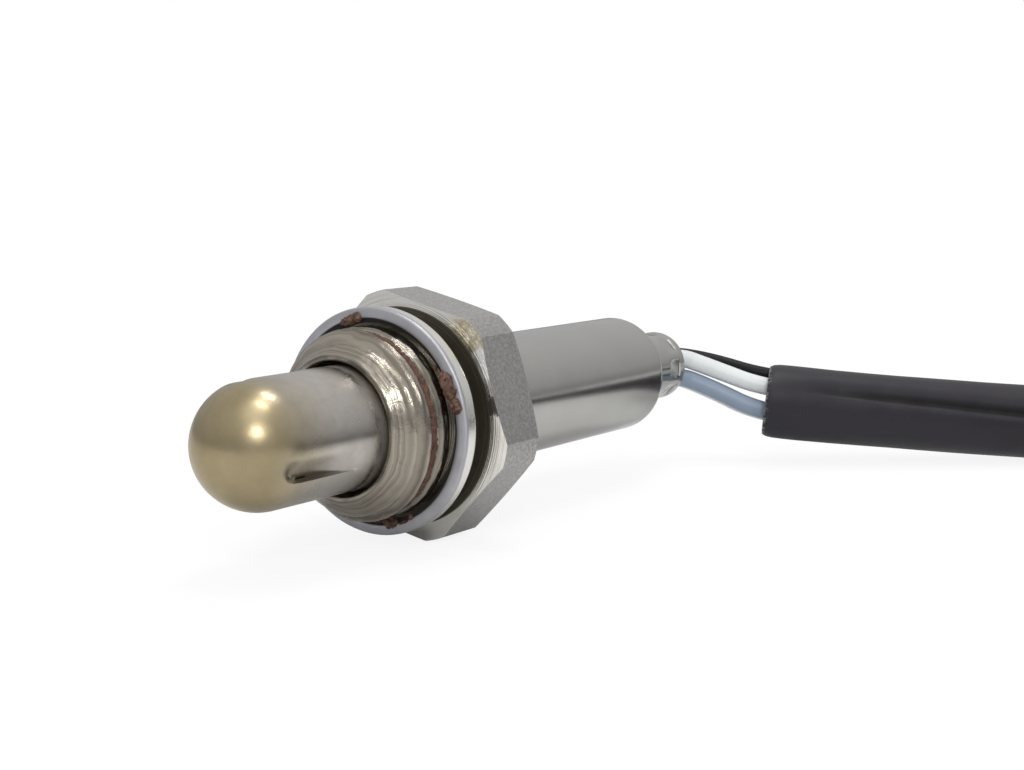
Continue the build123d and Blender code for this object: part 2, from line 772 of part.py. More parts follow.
def plug_wire(name):
    """Wire from the sleeve's end, round into the plug, to its blade's barrel."""
    wire, side, row = plug_ends[name]
    half = plug_pitch / 2
    low, high = lead_z + row * mouth_spread, plug_z + row * half
    points = [(coil_end.X + side * mouth_spread, coil_end.Y + mouth_depth, low)]
    for step, (inset, offset, degrees) in enumerate(plug_route):
        x, y = -inset * plug_rear_inset, -offset * plug_offset
        share = step / (len(plug_route) - 1)
        spread = side * (mouth_spread + (half - mouth_spread) * share)
        out = (math.cos(math.radians(degrees)), math.sin(math.radians(degrees)))
        points.append((coil_end.X + x + spread * out[0], coil_end.Y + y + spread * out[1],
                       low + (high - low) * share))
    end = plug_plane.origin - Vector(blade_barrel_start, side * half, 0)
    points.append((end.X, end.Y, high))
    conductor = Pos(side * half, row * half) * Circle(conductor_d / 2)
    stub_end = blade_barrel_start + blade_barrel_length - barrel_floor
    return cord_tube(name, points, wires[wire][1]) + in_plug(conductor, blade_barrel_start, stub_end)


nodes = {
    "sensor_shell": sensor_shell,
    "outer_protective_tube": outer_protective_tube,
    "inner_protective_tube": inner_protective_tube,
    "captive_gasket": captive_gasket,
    "zirconia_element": zirconia_element,
    "element_seal_washer": element_seal_washer,
    "talc_packing": talc_packing,
    "ceramic_bush": ceramic_bush,
    "crimp_ring": crimp_ring,
    "heater_rod": heater_rod,
    "signal_contact": lambda: signal_contact(wires["black_wire"][0]),
    "ground_contact": lambda: ground_contact(wires["grey_wire"][0]),
    "heater_contact_1": lambda: heater_contact(wires["white_wire_1"][0]),
    "heater_contact_2": lambda: heater_contact(wires["white_wire_2"][0]),
    "ceramic_carrier": ceramic_carrier,
    "carrier_spring": carrier_spring,
    "casing_sleeve": casing_sleeve,
    "wire_grommet": wire_grommet,
    "lead_sleeve": lead_sleeve,
    "lead_coil": lead_coil,
    "coil_tie": coil_tie,
    "plug_housing": plug_housing,
    "plug_blades": plug_blades,
    "plug_wire_seals": plug_wire_seals,
    "plug_retainer": plug_retainer,
    "plug_end_cap": plug_end_cap,
}

os.makedirs("parts", exist_ok=True)
for node, make in nodes.items():
    shape = make()
    if isinstance(shape, list):
        shape = Compound(children=shape)
    export_step(shape, f"parts/{node}.step")
for node in wires:
    export_step(sensor_wire(node), f"parts/{node}.step")
for node in plug_ends:
    export_step(plug_wire(node), f"parts/{node}.step")
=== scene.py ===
import math

import bmesh
import bpy
from bpy.props import FloatProperty, FloatVectorProperty, IntProperty, PointerProperty
from mathutils import Matrix, Vector, noise


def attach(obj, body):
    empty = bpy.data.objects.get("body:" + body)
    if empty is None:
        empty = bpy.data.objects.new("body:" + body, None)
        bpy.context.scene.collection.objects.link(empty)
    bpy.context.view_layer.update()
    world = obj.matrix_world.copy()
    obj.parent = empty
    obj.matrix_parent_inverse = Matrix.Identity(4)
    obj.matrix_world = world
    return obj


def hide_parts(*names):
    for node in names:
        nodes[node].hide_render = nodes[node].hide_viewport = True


bl_info = {
    "name": "Oxygen Sensor",
    "version": (1, 0, 0),
    "blender": (4, 5, 0),
    "location": "3D View > Sidebar > Oxygen Sensor",
    "description": "Dresses the packed oxygen sensor with worn steel, wires, a sleeved lead and its plug",
    "category": "Object",
}

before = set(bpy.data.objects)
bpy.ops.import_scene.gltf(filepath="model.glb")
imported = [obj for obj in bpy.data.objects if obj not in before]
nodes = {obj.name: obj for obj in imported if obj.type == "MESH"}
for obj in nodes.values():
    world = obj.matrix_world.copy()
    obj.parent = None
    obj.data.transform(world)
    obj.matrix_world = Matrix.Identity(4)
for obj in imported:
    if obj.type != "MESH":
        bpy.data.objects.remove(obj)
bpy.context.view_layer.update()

MM = 0.001
IMAGE_WIDTH = 1024
SHARP_ANGLE = 32.0
DOUBLES = 1e-7

# ------------------------------------------------------------------ sizes of the sensor, in millimetres
# The axis is Y, the tip points to -Y, and the origin is in the hexagon's front face.
THREAD_R = 8.93
THREAD_PITCH = 1.5
THREAD_REAR_Y = -4.0
RIM_Y = -9.3
RIM_R = 6.195
RIM_FLAT = 0.45
# how sharply the lead-in meets the crests: larger is sharper
LEAD_IN_EDGE = 7.0
# the groove's half widths in front and behind, and its depth along Y where the lead-in wears it away
GROOVE_WIDTHS = (0.62, 0.42)
FRONT_GROOVES = ((-8.8, 0.0), (-8.3, 0.34), (-7.6, 0.28), (-7.0, 0.34))
# the last crest slopes down to the neck: how far, and over which turns past the last groove
LAST_CREST_DROP = 0.32
LAST_CREST_TURN = 0.82
LAST_CREST_REACH = 0.55
RUN_OUT_ANGLE = 0.6
FRONT_BORE_R = 3.4
LEDGE_Y = 0.5
NECK_R = 8.1
RECESS_Y = -4.6
SPIGOT_R = 5.2
SPIGOT_Y = -8.1
INNER_SEAT_Y = -5.2
INNER_TUBE_R = 4.3
SHELL_BORE_R = 5.0
HEX_R = 11.0
HEX_SHARP_R = HEX_R / math.cos(math.radians(30))
HEX_CORNER_R = HEX_SHARP_R - 0.6
HEX_LENGTH = 6.0
HEX_FACE_R = 10.4
HEX_CHAMFER = 0.5
HEX_TURN = math.radians(16.9)
# marks on the hexagon's turned corners: a scuff, a painted highlight and a golden patch
SCUFF = (10.7, 0.2, 1.9)
PAINTED_HIGHLIGHT = (9.55, 0.2, 5.5)
GILDED = (7.9, 0.2, 7.9)
COLLAR_R = 5.86
COLLAR_REAR_Y = 13.9
LIP_R = 4.0
LIP_Y = 13.0
TUBE_R = 5.73
TUBE_WALL = 0.5
TUBE_TIP_Y = -24.84
TUBE_DOME_Y = TUBE_TIP_Y + TUBE_R
# where the tip's tint fades, and where soot and painted shade thicken on the tube in the shell's recess
TINT_Y = (-20.5, -14.0)
SOOT_SHADE_Y = (-8.9, -7.5)
LOUVRE_COUNT = 3
LOUVRE_FIRST = math.radians(-15.0)
LOUVRE_FRONT_Y = -21.5
LOUVRE_REAR_Y = -11.7
LOUVRE_WIDTH = 2.4
LOUVRE_DEPTH = 0.6
LOUVRE_NOSE = 1.3
LOUVRE_RISE = 1.2
LOUVRE_RUN_OUT = 6.5
# a louvre is sheared from the wall at its lower edge, with a slot behind it, and its inside lags a little
SHEAR_ANGLE = LOUVRE_FIRST - LOUVRE_WIDTH / 2 / TUBE_R
SHEAR_GAP = 0.02
INSIDE_SHIFT = 0.33
SLOT_WIDTH = 0.6
SLOT_ASIDE = -0.27
GASKET_R = 10.65
GASKET_BORE_R = 9.2
GASKET_THICK = 1.8
GASKET_Y = -3.5
GASKET_TILT = math.radians(2.2)
GASKET_CRUSH = 0.05
# where the gasket's edge turns from blue-grey to a painted highlight in polished steel
EDGE_HIGHLIGHT_Y = (-3.5, -3.3)
# dried paste in the thread's last groove, from and to in degrees round the axis
PASTE_TURNS = (-78, 115)
# dried paste on the gasket: middle and reach in degrees round the axis, radius, half width and height
PASTE_LUMPS = (
    (25, 17, 9.62, 0.72, 0.55),
    (13.5, 9, 9.85, 0.56, 0.6),
    (104, 15, 9.6, 0.42, 0.4),
    (99, 6, 9.75, 0.45, 0.5),
    (-77, 10, 9.45, 0.5, 0.35),
    (-68, 7, 9.7, 0.1, 0.12),
    (-62, 3, 9.5, 0.28, 0.12),
    (-85, 9, 9.3, 0.12, 0.12),
    (37, 4, 9.25, 0.18, 0.25),
)
CASING_R = 6.39
CASING_WALL = 0.5
CASING_SHOULDER_Y = 39.3
CASING_EDGE = 1.6
BOSS_R = 3.95
BOSS_REAR_Y = 48.4
BOSS_BLEND = 0.8
BOSS_EDGE = 1.1
CRIMP_Y = 44.3
CRIMP_WIDTH = 2.2
CRIMP_FLATS = 8
CRIMP_R = 3.75
WIRE_PITCH_R = 1.65
WIRE_START_Y = 37.1
# the floor touches the edge between a turned corner and a flat, under the axis
CORNER_HALF = math.radians(30) - math.acos(HEX_R / HEX_CORNER_R)
FLOOR_Z = HEX_CORNER_R * math.sin(HEX_TURN - math.pi / 2 - CORNER_HALF)

# ------------------------------------------------------------------ the lead and its plug
LEAD_D = 8.8
LEAD_WALL = 0.45
MOUTH_DEPTH = 7.5
MOUTH_SHRUNK = 1.1
MOUTH_SLANT = 0.9
MOUTH_SLANT_RUN = 6
END_ROLL = 0.35
END_ROLL_RUN = 0.45
END_RINGS = (0.06, 0.15, 0.3, 0.55)
FRAYED_RUN = 1.4
# the long crease: its angle at the mouth and its turn per millimetre in degrees, and where the turn ends;
# its sway in radians; its half widths below and above; where it starts, deepens and fades along the lead
CREASE_ANGLE = 28
CREASE_TURN = 0.38
CREASE_TURN_END = 45
CREASE_SWAY = 0.05
SWAY_RUN = 9
CREASE_WIDTHS = (0.07, 0.24)
CREASE_START = 2
CREASE_RISE = 10
CREASE_END = 85
CREASE_FADE = 60
LEAD_WAVE = 0.12
LEAD_START = Vector((10.43, 56.03, -4.37))
LEAD_SLOPE = (23.6, 17.5)
LEAD_HEADING = math.radians(35)
LEAD_SECOND_RUN = 48.0
LEAD_Z = FLOOR_Z + LEAD_D / 2
COIL_LEAD_IN = 12.0
COIL_R = 51.0
COIL_STEP = 5.4
COIL_TURN = 485
COIL_END_RUN = 9.0
COIL_POINTS = 16
# control points lie this much further out than the curve between them
COIL_SWELL = 1 / 0.981
PLUG_HEIGHT = 17.0
PLUG_PITCH = 5.0
PLUG_OFFSET = 15.0
PLUG_INSET = 22.0
PLUG_Z = FLOOR_Z + PLUG_HEIGHT / 2
MOUTH_SPREAD = 1.35
BLADE_START = 8.0

# name: angle round the axis, diameter, straight run behind the boss, next corner as shares of the way
# to the sleeve's start, place in the sleeve's mouth (up, aside) as shares of its inner radius
WIRES = {
    "white_wire_1": (45, 2.1, 1.3, (0.431, 0.524, 0.092), (0.354, 0.304)),
    "white_wire_2": (225, 2.1, 2.6, (0.278, 0.852, 0.755), (-0.532, -0.456)),
    "grey_wire": (-45, 2.1, 1.3, (0.451, 0.472, 0.618), (-0.405, 0.354)),
    "black_wire": (135, 1.6, 2.6, (0.307, 0.852, -0.069), (0.709, -0.127)),
}
# name: diameter, side of the bend (1 is outside), row (1 is upper)
PLUG_WIRES = {
    "plug_white_wire_1": (2.1, 1, 1),
    "plug_white_wire_2": (2.1, 1, -1),
    "plug_grey_wire": (2.1, -1, -1),
    "plug_black_wire": (1.6, -1, 1),
}
# corners from the sleeve's end, as shares of the plug's inset and offset, and the way to the outer side
PLUG_ROUTE = ((0, 0.2, 0), (0.173, 0.733, -40), (0.532, 1, -90))

# ------------------------------------------------------------------ camera
CAMERA_PLACE = Vector((92.388, -111.489, 23.079))
CAMERA_RIGHT = Vector((0.81408, 0.58075, 0.0))
CAMERA_UP = Vector((-0.08012, 0.11230, 0.99044))
FOCAL_PIXELS = 1545.72
SENSOR_WIDTH = 36.0

# ------------------------------------------------------------------ floor and lamps, in metres
FLOOR_HALF = 3.0
FLOOR_GAP = 0.00002
FLOOR_GLOW = 1.03
TIP_END = -0.024
KEY_LAMP = (0.2, -0.3, 0.8)
KEY_LAMP_SIZE = 0.6
SMALL_LAMP = (0.302, -0.319, 0.263)
SMALL_LAMP_SIZE = 0.085
BAR_LAMPS = (
    ((0.022, -0.047, 0.799), (0.236, -0.009, 0.764)),
    ((-0.088, 0.219, 0.759), (0.116, 0.266, 0.738)),
)
BAR_WIDTH = 0.05


# ================================================================== helpers
def clamp(value):
    return min(1.0, max(0.0, value))


def smooth(share):
    """Eases a share from 0 to 1 in and out."""
    return share * share * (3 - 2 * share)


def tone(colour, share):
    """A colour made darker or lighter by a share."""
    return [c * share for c in colour]


def between(value, table):
    """Straight interpolation in a table of (place, value)."""
    if value <= table[0][0]:
        return table[0][1]
    for (a, va), (b, vb) in zip(table, table[1:]):
        if value <= b:
            return va + (vb - va) * (value - a) / (b - a)
    return table[-1][1]


def round_axis(place):
    """A point's distance from the sensor's axis and its Y, in millimetres, and its angle."""
    x, y, z = place / MM
    return math.hypot(x, z), y, math.atan2(z, x)


def placed(name, data):
    """A new object in the scene."""
    item = bpy.data.objects.new(name, data)
    bpy.context.scene.collection.objects.link(item)
    return item


def evaluated_mesh(item):
    """A new mesh of what an object's curve or modifiers make."""
    graph = bpy.context.evaluated_depsgraph_get()
    return bpy.data.meshes.new_from_object(item.evaluated_get(graph), depsgraph=graph)


def finish_mesh(bm, mesh, sharp_angle=SHARP_ANGLE):
    """Merges doubles, turns normals outwards, smooths faces, marks sharp edges and fills the mesh."""
    bmesh.ops.remove_doubles(bm, verts=bm.verts, dist=DOUBLES)
    bmesh.ops.recalc_face_normals(bm, faces=bm.faces)
    for face in bm.faces:
        face.smooth = True
    limit = math.radians(sharp_angle)
    for edge in bm.edges:
        edge.smooth = len(edge.link_faces) != 2 or edge.calc_face_angle(0.0) < limit
    bm.to_mesh(mesh)
    bm.free()


def mesh_object(name, bm, sharp_angle=SHARP_ANGLE):
    """Turns a bmesh in metres into an object."""
    mesh = bpy.data.meshes.new(name)
    finish_mesh(bm, mesh, sharp_angle)
    return placed(name, mesh)


def as_piece(item, materials, replaces):
    """Gives an object its materials and makes it a piece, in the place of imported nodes."""
    for material in materials:
        item.data.materials.append(material)
    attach(item, "root")
    if replaces:
        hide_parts(*replaces)
    return item


def dress(material, *names):
    """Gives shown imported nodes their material."""
    for name in names:
        data = nodes[name].data
        data.materials.clear()
        data.materials.append(material)


def arc(x, y, radius, start, end, steps=6):
    """Points of an arc in (radius, y), from one angle to another, in degrees."""
    angles = [math.radians(start + (end - start) * k / steps) for k in range(steps + 1)]
    return [(x + radius * math.cos(angle), y + radius * math.sin(angle)) for angle in angles]


def spin_outline(bm, outline, steps):
    """Turns a closed outline in (radius, y), in millimetres, round the sensor's axis."""
    verts = [bm.verts.new((r * MM, y * MM, 0)) for r, y in outline]
    edges = [bm.edges.new(pair) for pair in zip(verts, verts[1:] + verts[:1])]
    bmesh.ops.spin(bm, geom=verts + edges, cent=(0, 0, 0), axis=(0, 1, 0), dvec=(0, 0, 0), angle=2 * math.pi,
                   steps=steps, use_merge=True, use_duplicate=False)
    bmesh.ops.remove_doubles(bm, verts=bm.verts, dist=DOUBLES)


def joined(piece, other, operation):
    """Joins or cuts a piece with another mesh object, which is then removed."""
    modifier = piece.modifiers.new(operation, "BOOLEAN")
    modifier.operation = operation
    modifier.solver = "EXACT"
    modifier.object = other
    mesh = evaluated_mesh(piece)
    piece.modifiers.clear()
    piece.data = mesh
    bpy.data.objects.remove(other)


def resmooth(piece, sharp_angle):
    """Cleans a mesh after a boolean."""
    bm = bmesh.new()
    bm.from_mesh(piece.data)
    finish_mesh(bm, piece.data, sharp_angle)


def mark_points(piece, name, rule):
    """Keeps a value at each point of a mesh, from its distance from the axis, its Y and its angle."""
    mark = piece.data.attributes.new(name, "FLOAT", "POINT")
    for vert, item in zip(piece.data.vertices, mark.data):
        item.value = rule(*round_axis(vert.co))


def spline_curve(name, route, diameter, resolution=12):
    """An open NURBS curve through a route in millimetres, as a round cord."""
    data = bpy.data.curves.new(name, "CURVE")
    data.dimensions = "3D"
    data.resolution_u = resolution
    data.bevel_depth = diameter / 2 * MM
    data.bevel_resolution = 6
    data.use_fill_caps = True
    spline = data.splines.new("NURBS")
    spline.points.add(len(route) - 1)
    for point, place in zip(spline.points, route):
        point.co = (*(place * MM), 1.0)
    spline.order_u = 3
    spline.use_endpoint_u = True
    return placed(name, data)


def line_points(curve):
    """The points that a curve's own line follows, in metres."""
    data = curve.data.copy()
    data.bevel_depth = 0
    holder = placed("line_holder", data)
    points = [vertex.co.copy() for vertex in evaluated_mesh(holder).vertices]
    bpy.data.objects.remove(holder)
    return points


def length_of(points):
    return sum((b - a).length for a, b in zip(points, points[1:]))


def path_rings(points):
    """At each point of a path: the point, the way along, aside and up, with up kept towards +Z."""
    rings = []
    for k, point in enumerate(points):
        along = (points[min(k + 1, len(points) - 1)] - points[max(k - 1, 0)]).normalized()
        aside = along.cross(Vector((0, 0, 1))).normalized()
        rings.append((point, along, aside, aside.cross(along)))
    return rings


def edges_of(loop):
    """The edges that join the points of a loop."""
    chosen = set(loop)
    return list({edge for vert in loop for edge in vert.link_edges if edge.other_vert(vert) in chosen})


# ================================================================== routes
def lead_corners():
    """The lead's first corners: its mouth, where it meets the floor, and its coil's start."""
    second = Vector((LEAD_START.x + LEAD_SLOPE[0], LEAD_START.y + LEAD_SLOPE[1], LEAD_Z))
    heading = Vector((math.cos(LEAD_HEADING), math.sin(LEAD_HEADING), 0))
    return LEAD_START, second, second + heading * LEAD_SECOND_RUN, heading


def coil_points():
    """Control points of the flat inward spiral, then its straight end."""
    start, heading = lead_corners()[2:]
    centre = start + Vector((heading.y, -heading.x, 0)) * COIL_R
    from_centre = LEAD_HEADING + math.pi / 2
    points = []
    turned = 0.0
    step = 360 / COIL_POINTS
    radius = COIL_R
    half_turn_end = 180.0
    while turned + step / 2 < COIL_TURN:
        angle = from_centre - math.radians(turned + step / 2)
        if turned + step / 2 > half_turn_end:
            away = from_centre - math.radians(half_turn_end)
            centre = centre + Vector((math.cos(away), math.sin(away), 0)) * COIL_STEP
            radius -= COIL_STEP
            half_turn_end += 180.0
        points.append(centre + Vector((math.cos(angle), math.sin(angle), 0)) * radius * COIL_SWELL)
        turned += step
    last = from_centre - math.radians(COIL_TURN)
    end = centre + Vector((math.cos(last), math.sin(last), 0)) * radius
    points.append(end + Vector((math.sin(last), -math.cos(last), 0)) * COIL_END_RUN)
    return points


def lead_route():
    """The whole lead, from the wires to the plug's wires."""
    first, second, third, heading = lead_corners()
    return [first, second, third - heading * COIL_LEAD_IN, *coil_points()]


def sensor_wire_route(degrees, run, share, up, side):
    """A wire from the contacts, through the boss, into the sleeve's mouth."""
    angle = math.radians(degrees)
    x, z = WIRE_PITCH_R * math.cos(angle), WIRE_PITCH_R * math.sin(angle)
    start, second = lead_corners()[:2]
    axis = (second - start).normalized()
    aside = axis.cross(Vector((0, 0, 1))).normalized()
    upward = aside.cross(axis)
    corner = Vector((start.x * share[0], BOSS_REAR_Y + (start.y - BOSS_REAR_Y) * share[1], start.z * share[2]))
    mouth = start + (upward * up + aside * side) * (LEAD_D / 2 - LEAD_WALL)
    return [Vector((x, WIRE_START_Y, z)), Vector((x, BOSS_REAR_Y + run, z)), corner, mouth,
            mouth + axis * MOUTH_DEPTH]


def plug_wire_route(side, row):
    """A wire from the sleeve's end into the plug."""
    end = coil_points()[-1]
    half = PLUG_PITCH / 2
    low, high = LEAD_Z + row * MOUTH_SPREAD, PLUG_Z + row * half
    points = [Vector((end.x + side * MOUTH_SPREAD, end.y + MOUTH_DEPTH, low))]
    for step, (inset, offset, degrees) in enumerate(PLUG_ROUTE):
        share = step / (len(PLUG_ROUTE) - 1)
        spread = side * (MOUTH_SPREAD + (half - MOUTH_SPREAD) * share)
        angle = math.radians(degrees)
        points.append(Vector((end.x - inset * PLUG_INSET + spread * math.cos(angle),
                              end.y - offset * PLUG_OFFSET + spread * math.sin(angle),
                              low + (high - low) * share)))
    points.append(Vector((end.x - PLUG_INSET - BLADE_START, end.y - PLUG_OFFSET - side * half, high)))
    return points


# ================================================================== node trees
class Nodes:
    """A node tree with short ways to add to it. An input is a value or the socket that feeds it."""

    def __init__(self, tree, coords=None):
        self.tree = tree
        self.coords = coords

    def feed(self, socket, value):
        if isinstance(value, bpy.types.NodeSocket):
            self.tree.links.new(value, socket)
        else:
            socket.default_value = (*value, 1.0) if socket.type == "RGBA" else value

    def add(self, kind, options=None, **inputs):
        """Adds a node, with _ in an input's name for a space."""
        node = self.tree.nodes.new("ShaderNode" + kind)
        for key, value in (options or {}).items():
            setattr(node, key, value)
        for key, value in inputs.items():
            self.feed(node.inputs[key.replace("_", " ")], value)
        return node

    def fed(self, node, values):
        """Feeds a node's first inputs and returns its first output."""
        for socket, value in zip(node.inputs, values):
            self.feed(socket, value)
        return node.outputs[0]

    def calc(self, operation, *values, clamp=False):
        """A Math node's output."""
        return self.fed(self.add("Math", {"operation": operation, "use_clamp": clamp}), values)

    def times(self, a, b):
        return self.calc("MULTIPLY", a, b)

    def plus(self, a, b):
        return self.calc("ADD", a, b)

    def minus(self, a, b):
        return self.calc("SUBTRACT", a, b)

    def span(self, value, low, high, to_low=0.0, to_high=1.0):
        """A Map Range node's output, clamped."""
        return self.fed(self.add("MapRange", {"clamp": True}), (value, low, high, to_low, to_high))

    def blend(self, factor, a, b, mode="MIX"):
        """A colour Mix node's output."""
        node = self.add("Mix", {"data_type": "RGBA", "blend_type": mode})
        for index, value in ((0, factor), (6, a), (7, b)):
            self.feed(node.inputs[index], value)
        return node.outputs[2]

    def tinge(self, base, mask, share, colour):
        """Lays a share of a colour over a base where a mask is."""
        return self.blend(self.times(mask, share), base, colour)

    def shade(self, mask, colour, share):
        """A colour that is multiplied by a share where a mask is."""
        return self.blend(mask, colour, tone(colour, share))

    def part(self, axis, vector=None):
        """A vector's part along X, Y or Z."""
        return self.add("SeparateXYZ", Vector=vector or self.coords).outputs[axis]

    def length(self, vector):
        return self.add("VectorMath", {"operation": "LENGTH"}, Vector=vector).outputs["Value"]

    def rings(self, place, spacing):
        """Uneven rings along a place, with a spacing in millimetres."""
        along = self.calc("DIVIDE", place, self.times(spacing, MM))
        return self.add("TexNoise", {"noise_dimensions": "1D"}, W=along, Scale=1.0, Detail=3.0,
                        Roughness=0.6).outputs[0]

    def use(self, name, **inputs):
        """A node group's output on the tree's coordinates."""
        group = {"node_tree": bpy.data.node_groups[name]}
        return self.add("Group", group, Vector=self.coords, **inputs).outputs[0]

    def stains(self, size, amount, softness):
        """Blotches of a size in millimetres, as a mask."""
        return self.use("Stains", Size=size, Amount=amount, Softness=softness)

    def grain(self, size, roughness=0.6):
        """Fine grain of a size in millimetres."""
        return self.use("Fine Grain", Size=size, Roughness=roughness)

    def attribute(self, name):
        """A value that is kept at the mesh's points."""
        return self.add("Attribute", {"attribute_name": name}).outputs["Fac"]

    def near(self, place, core, reach):
        """Share from 1 within the core of a place, in millimetres, to 0 at the reach."""
        away = self.add("VectorMath", {"operation": "DISTANCE"}, Vector=self.coords)
        away.inputs[1].default_value = [c * MM for c in place]
        return self.span(away.outputs["Value"], core * MM, reach * MM, 1.0, 0.0)


class Surface(Nodes):
    """A material with a Principled BSDF, on Object coordinates."""

    def __init__(self, name):
        self.material = bpy.data.materials.new(name)
        self.material.use_nodes = True
        super().__init__(self.material.node_tree)
        self.coords = self.add("TexCoord").outputs["Object"]

    def done(self, base, roughness, metallic, *bumps, specular=0.5):
        """Feeds the shader, with bumps of (height, depth in mm) one on another. Returns the material."""
        shader = self.tree.nodes["Principled BSDF"].inputs
        for name, value in (("Base Color", base), ("Roughness", roughness), ("Metallic", metallic),
                            ("Specular IOR Level", specular)):
            self.feed(shader[name], value)
        below = {}
        for height, depth in bumps:
            bump = self.add("Bump", Height=height, Distance=depth * MM, Strength=1.0, **below)
            below = {"Normal": bump.outputs[0]}
        if below:
            self.feed(shader["Normal"], below["Normal"])
        return self.material


# ================================================================== shared effects
def new_effect(name, output, **numbers):
    """A node group of a vector and numbers. Returns it, its inputs and its output's socket."""
    tree = bpy.data.node_groups.new(name, "ShaderNodeTree")
    tree.interface.new_socket("Vector", in_out="INPUT", socket_type="NodeSocketVector")
    for label, default in numbers.items():
        tree.interface.new_socket(label, in_out="INPUT", socket_type="NodeSocketFloat").default_value = default
    tree.interface.new_socket(output, in_out="OUTPUT", socket_type="NodeSocketFloat")
    given = tree.nodes.new("NodeGroupInput").outputs
    return Nodes(tree, given["Vector"]), given, tree.nodes.new("NodeGroupOutput").inputs[0]


def build_effects():
    """Node groups that more than one material uses."""
    group, given, out = new_effect("Turning Marks", "Height", Spacing=0.15, Waver=0.2)
    slow = group.add("TexNoise", Vector=group.coords, Scale=400.0, Detail=1.0).outputs[0]
    along = group.plus(group.part("Y"), group.times(slow, group.times(given["Waver"], MM)))
    group.feed(out, group.rings(along, given["Spacing"]))

    group, given, out = new_effect("Axis Distance", "Distance")
    flat = group.add("CombineXYZ", X=group.part("X"), Y=group.part("Z"))
    group.feed(out, group.length(flat.outputs[0]))

    group, given, out = new_effect("Face Turning", "Height", Spacing=0.15)
    group.feed(out, group.rings(group.use("Axis Distance"), given["Spacing"]))

    group, given, out = new_effect("Stains", "Mask", Size=3.0, Amount=0.5, Softness=0.2)
    scale = group.calc("DIVIDE", 1.0, group.times(given["Size"], MM))
    cloud = group.add("TexNoise", Vector=group.coords, Scale=scale, Detail=5.0, Roughness=0.62, Distortion=0.4)
    edge = group.minus(1.0, given["Amount"])
    group.feed(out, group.span(cloud.outputs[0], group.minus(edge, given["Softness"]),
                               group.plus(edge, given["Softness"])))

    group, given, out = new_effect("Fine Grain", "Height", Size=0.3, Roughness=0.6)
    scale = group.calc("DIVIDE", 1.0, group.times(given["Size"], MM))
    grain = group.add("TexNoise", Vector=group.coords, Scale=scale, Detail=4.0, Roughness=given["Roughness"])
    group.feed(out, grain.outputs[0])


# ================================================================== materials
def tube_material(look):
    """Drawn steel tube, heat-tinted at its tip, with soot and painted shade at its rear and in its louvres."""
    made = Surface("tube_steel")
    cloud = made.stains(5.0, 0.5, 0.35)
    reach = made.plus(made.part("Y"), made.times(cloud, 2.5 * MM))
    tint = made.span(reach, TINT_Y[0] * MM, TINT_Y[1] * MM, 1.0, 0.0)
    base = made.blend(tint, made.shade(cloud, look.steel, 0.86), made.shade(cloud, look.tip_tint, 0.74))
    base = made.tinge(base, made.stains(1.6, 0.35, 0.2), 0.22, (0.16, 0.14, 0.1))
    # soot and painted shade on the tube's rear, where it sits in the shell's recess
    soot_and_shade = made.span(reach, SOOT_SHADE_Y[0] * MM, SOOT_SHADE_Y[1] * MM)
    base = made.blend(soot_and_shade, base, (0.14, 0.115, 0.085))
    # painted shade with soot in the louvres' deep parts and at their noses
    base = made.tinge(base, made.attribute("soot_and_shade"), 0.5, (0.1, 0.085, 0.062))
    rough = made.plus(made.span(cloud, 0, 1, 0.2, 0.3),
                      made.plus(made.times(tint, 0.07), made.times(soot_and_shade, 0.3)))
    return made.done(base, rough, made.span(soot_and_shade, 0, 1, 1.0, 0.2), (made.grain(0.35), 0.007))


def shell_material(look):
    """Turned steel, worn, with bands and rings from the tool and dried paste in the groove."""
    made = Surface("shell_steel")
    marks = made.use("Turning Marks", Spacing=0.22, Waver=0.3)
    bands = made.use("Turning Marks", Spacing=0.6, Waver=0.5)
    cloud = made.stains(2.5, 0.45, 0.3)
    base = made.blend(cloud, look.shell, tone(look.brown_steel, 0.8))
    band = made.span(bands, 0.36, 0.62, 0.55, 1.2)
    grey = made.add("CombineColor", Red=band, Green=band, Blue=band)
    base = made.blend(1.0, base, grey.outputs[0], "MULTIPLY")
    base = made.tinge(base, made.stains(1.0, 0.33, 0.08), 0.45, (0.12, 0.1, 0.07))
    ragged = made.span(made.grain(0.7, 0.7), 0.3, 0.7, 0.35, 1.65)
    paste = made.span(made.times(made.attribute("paste"), ragged), 0.4, 0.5)
    crumbs = made.grain(0.3, 0.75)
    brown = made.blend(made.span(crumbs, 0.35, 0.68), tone(look.paste, 0.3), tone(look.paste, 1.7))
    brown = made.tinge(brown, made.stains(0.8, 0.42, 0.1), 0.5, (0.2, 0.13, 0.06))
    # soot and painted shade on the walls inside the rim, darker and less metallic
    soot_and_shade = made.span(made.use("Axis Distance"), (RIM_R - 0.02) * MM, (RIM_R + 0.03) * MM, 1.0, 0.0)
    base = made.blend(soot_and_shade, base, (0.17, 0.14, 0.105))
    rough = made.plus(made.span(cloud, 0, 1, 0.17, 0.34), made.times(paste, 0.3))
    metallic = made.minus(1.0, made.times(made.calc("MAXIMUM", paste, soot_and_shade), 0.8))
    rings = made.plus(marks, made.times(made.use("Face Turning", Spacing=0.2), 0.5))
    return made.done(made.blend(paste, base, brown), rough, metallic, (rings, 0.03),
                     (made.grain(0.25, 0.65), 0.018), (made.times(paste, crumbs), 0.25))


